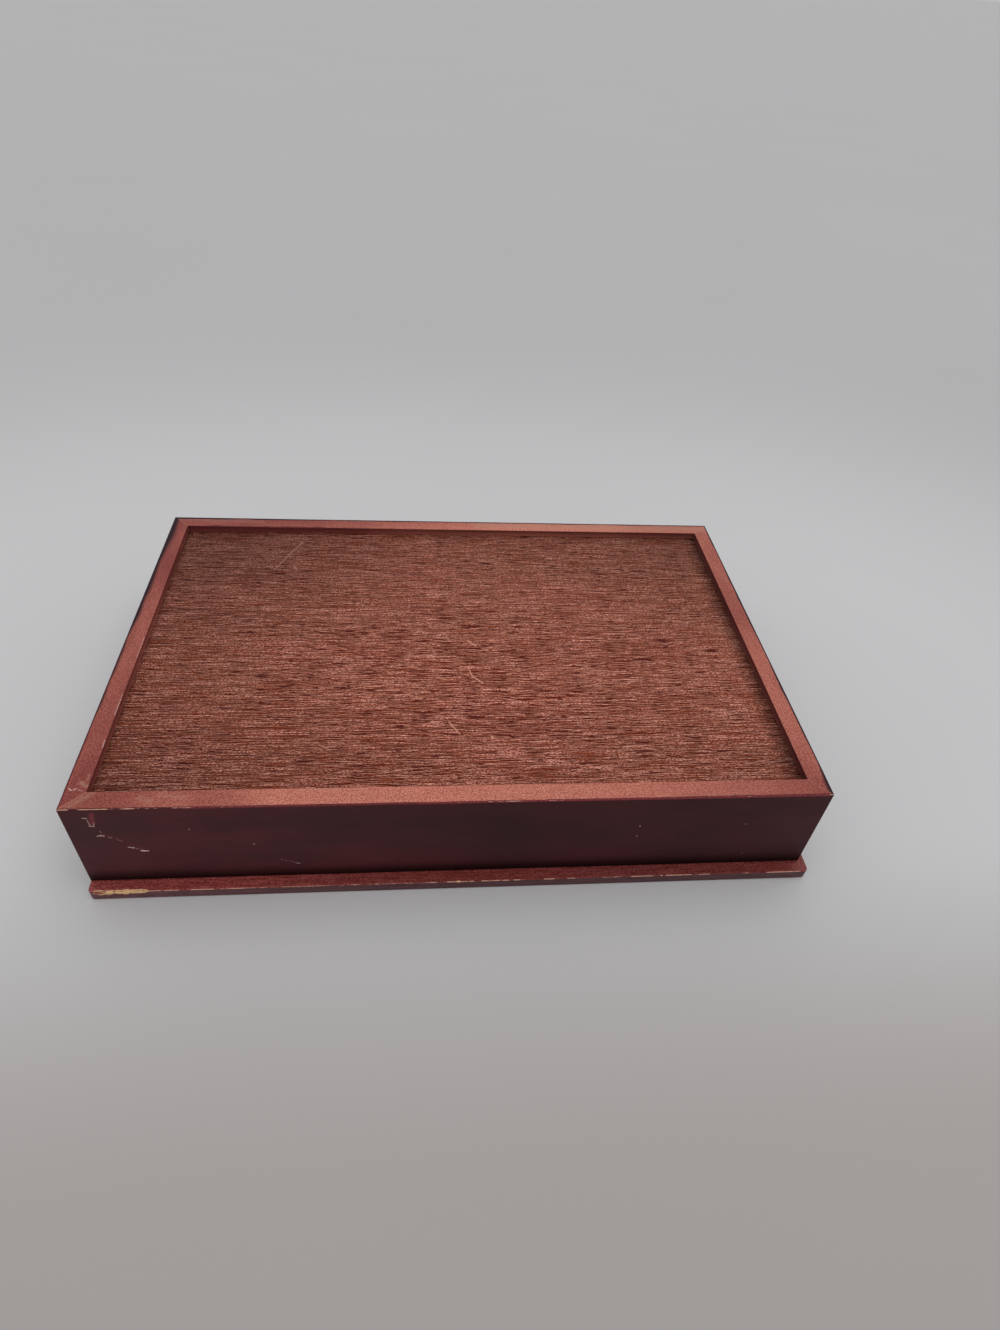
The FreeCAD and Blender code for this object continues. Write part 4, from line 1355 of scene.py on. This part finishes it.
class KEEPSAKE_OT_bottom(bpy.types.Operator):
    """Build the open-grained bottom sheet"""

    bl_idname = "keepsake.bottom"
    bl_label = "Bottom sheet"

    def execute(self, context):
        sizes = context.scene.keepsake_sizes
        material = open_grain_material(context.scene.keepsake_colours, sizes)
        sheet = plain_sheet()
        run_tree(sheet, pore_relief_tree(sizes), Pore_Depth=sizes.pore_depth,
                 Fibre_Height=sizes.fibre_height, Face_Level=SHEET_HIGH.z, Material=material)
        finish_piece(sheet, "box", "stained_plywood", None, "bottom_panel")
        return {"FINISHED"}


class KEEPSAKE_OT_lid(bpy.types.Operator):
    """Build the lid with its worn and chipped arris"""

    bl_idname = "keepsake.lid"
    bl_label = "Lid"

    def execute(self, context):
        sizes = context.scene.keepsake_sizes
        material = stained_lid_material(context.scene.keepsake_colours)
        board = lid_board(sizes)
        cut_hinge_recesses(board, -1, "lid", sizes)
        finish_piece(board, "lid", "stained_lid", material, "lid_panel")
        return {"FINISHED"}


class KEEPSAKE_OT_hinges(bpy.types.Operator):
    """Give the hinge leaves and pins their brass"""

    bl_idname = "keepsake.hinges"
    bl_label = "Hinges"

    def execute(self, context):
        colours = context.scene.keepsake_colours
        leaf = brass_material("rolled_brass_leaf", colours, LEAF_RELIEF)
        pin = brass_material("drawn_brass_pin", colours, PIN_RELIEF)
        for side in HINGE_SIDES:
            for part, material in (("wall_leaf", leaf), ("lid_leaf", leaf), ("pin", pin)):
                for place in frame["nodes"][f"{side}_hinge_{part}"].material_slots:
                    place.material = material
        return {"FINISHED"}


class KEEPSAKE_OT_screws(bpy.types.Operator):
    """Stand the slotted screws in the hinge leaves"""

    bl_idname = "keepsake.screws"
    bl_label = "Screws"

    def execute(self, context):
        sizes = context.scene.keepsake_sizes
        seed = context.scene.keepsake_stage.seed
        material = brass_material("turned_brass_screw", context.scene.keepsake_colours, SCREW_RELIEF)
        for part, body, up in (("wall", "box", True), ("lid", "lid", False)):
            screws = screw_set(f"{part}_hinge_screw_set", part, up, sizes, material, seed)
            nodes = (f"{side}_hinge_{part}_screws" for side in HINGE_SIDES)
            finish_piece(screws, body, "screw_brass", None, *nodes)
        return {"FINISHED"}


class KEEPSAKE_OT_stage(bpy.types.Operator):
    """Lay the floor, hang the lights and set up the camera"""

    bl_idname = "keepsake.stage"
    bl_label = "Stage"

    def execute(self, context):
        stage = context.scene.keepsake_stage
        lay_floor(stage)
        hang_key_light(stage)
        context.scene.world = studio_air(stage)
        context.scene.view_settings.view_transform = "Standard"
        context.scene.camera = stand_camera(stage)
        return {"FINISHED"}


# Gap between the lid and the floor, which keeps the two faces apart
FLOOR_GAP = 0.05 * MM
# Ways from the box towards the broad light and towards the stronger air
KEY_WAY = Vector((0.12, 0.0, 1.0))
AIR_WAY = Vector((0.1, 0.8, 0.6)).normalized()
# Width of the camera's frame, in millimetres
SENSOR_WIDTH = 36.0


def lay_floor(stage):
    """A flat floor just under the lid."""
    half = stage.floor_size / 2
    level = LID_LOW.z - FLOOR_GAP
    mesh = bpy.data.meshes.new("floor")
    corners = ((-half, -half), (half, -half), (half, half), (-half, half))
    mesh.from_pydata([(x, y, level) for x, y in corners], [], [(0, 1, 2, 3)])
    mesh.materials.append(floor_material(stage.floor))
    scene_object("floor", mesh)


def hang_key_light(stage):
    """A broad soft light from above, a little to the right of the box."""
    light = bpy.data.lights.new("key_light", "SUN")
    light.energy = stage.key_strength
    light.angle = stage.key_width
    thing = scene_object("key_light", light)
    thing.location = KEY_WAY
    thing.rotation_euler = (-KEY_WAY).to_track_quat("-Z", "Y").to_euler()


def studio_air(stage):
    """Soft light from all round, stronger from behind, that looks about as pale as the floor."""
    world = bpy.data.worlds.new("studio_air")
    world.use_nodes = True
    tree = world.node_tree
    way = add_node(tree, "ShaderNodeTexCoord").outputs["Generated"]
    behind = vector_measure(tree, "DOT_PRODUCT", way, AIR_WAY)
    seen = add_node(tree, "ShaderNodeLightPath").outputs["Is Camera Ray"]
    light = ramp(tree, behind, -0.6, 0.9, stage.air_front, stage.air_back)
    air = tree.nodes["Background"].inputs
    tree.links.new(ramp(tree, seen, 0.0, 1.0, light, stage.air_seen), air["Strength"])
    air["Color"].default_value = (1.0, 1.0, 1.0, 1.0)
    return world


def stand_camera(stage):
    """The camera at the photograph's viewing angle."""
    lens = bpy.data.cameras.new("camera")
    lens.lens = stage.eye_lens
    lens.sensor_width = SENSOR_WIDTH
    camera = scene_object("camera", lens)
    camera.location = stage.eye
    aside = Matrix.Rotation(-stage.eye_right, 3, "Z")
    down = Matrix.Rotation(math.pi / 2 - stage.eye_down, 3, "X")
    roll = Matrix.Rotation(stage.eye_roll, 3, "Z")
    camera.rotation_euler = (aside @ down @ roll).to_euler()
    return camera


class KEEPSAKE_PT_panel(bpy.types.Panel):
    """Lists the steps that build the box"""

    bl_idname = "KEEPSAKE_PT_panel"
    bl_label = "Keepsake Box"
    bl_space_type = "VIEW_3D"
    bl_region_type = "UI"
    bl_category = "Keepsake Box"

    def draw(self, context):
        for step in STEPS:
            self.layout.operator(step.bl_idname)


STEPS = (KEEPSAKE_OT_walls, KEEPSAKE_OT_bottom, KEEPSAKE_OT_lid, KEEPSAKE_OT_hinges, KEEPSAKE_OT_screws,
         KEEPSAKE_OT_stage)
GROUPS = {"keepsake_sizes": KeepsakeSizes, "keepsake_colours": KeepsakeColours,
          "keepsake_stage": KeepsakeStage}


def register():
    """Registers the classes and hangs their values on the scene."""
    for kind in (*GROUPS.values(), *STEPS, KEEPSAKE_PT_panel):
        bpy.utils.register_class(kind)
    for name, kind in GROUPS.items():
        setattr(bpy.types.Scene, name, PointerProperty(type=kind))


def unregister():
    """Takes the values off the scene and the classes out again."""
    for name in GROUPS:
        delattr(bpy.types.Scene, name)
    for kind in (KEEPSAKE_PT_panel, *reversed(STEPS), *GROUPS.values()):
        bpy.utils.unregister_class(kind)


def main():
    """Builds every piece in order."""
    register()
    for step in ("walls", "bottom", "lid", "hinges", "screws", "stage"):
        getattr(bpy.ops.keepsake, step)()


if __name__ == "__main__":
    main()
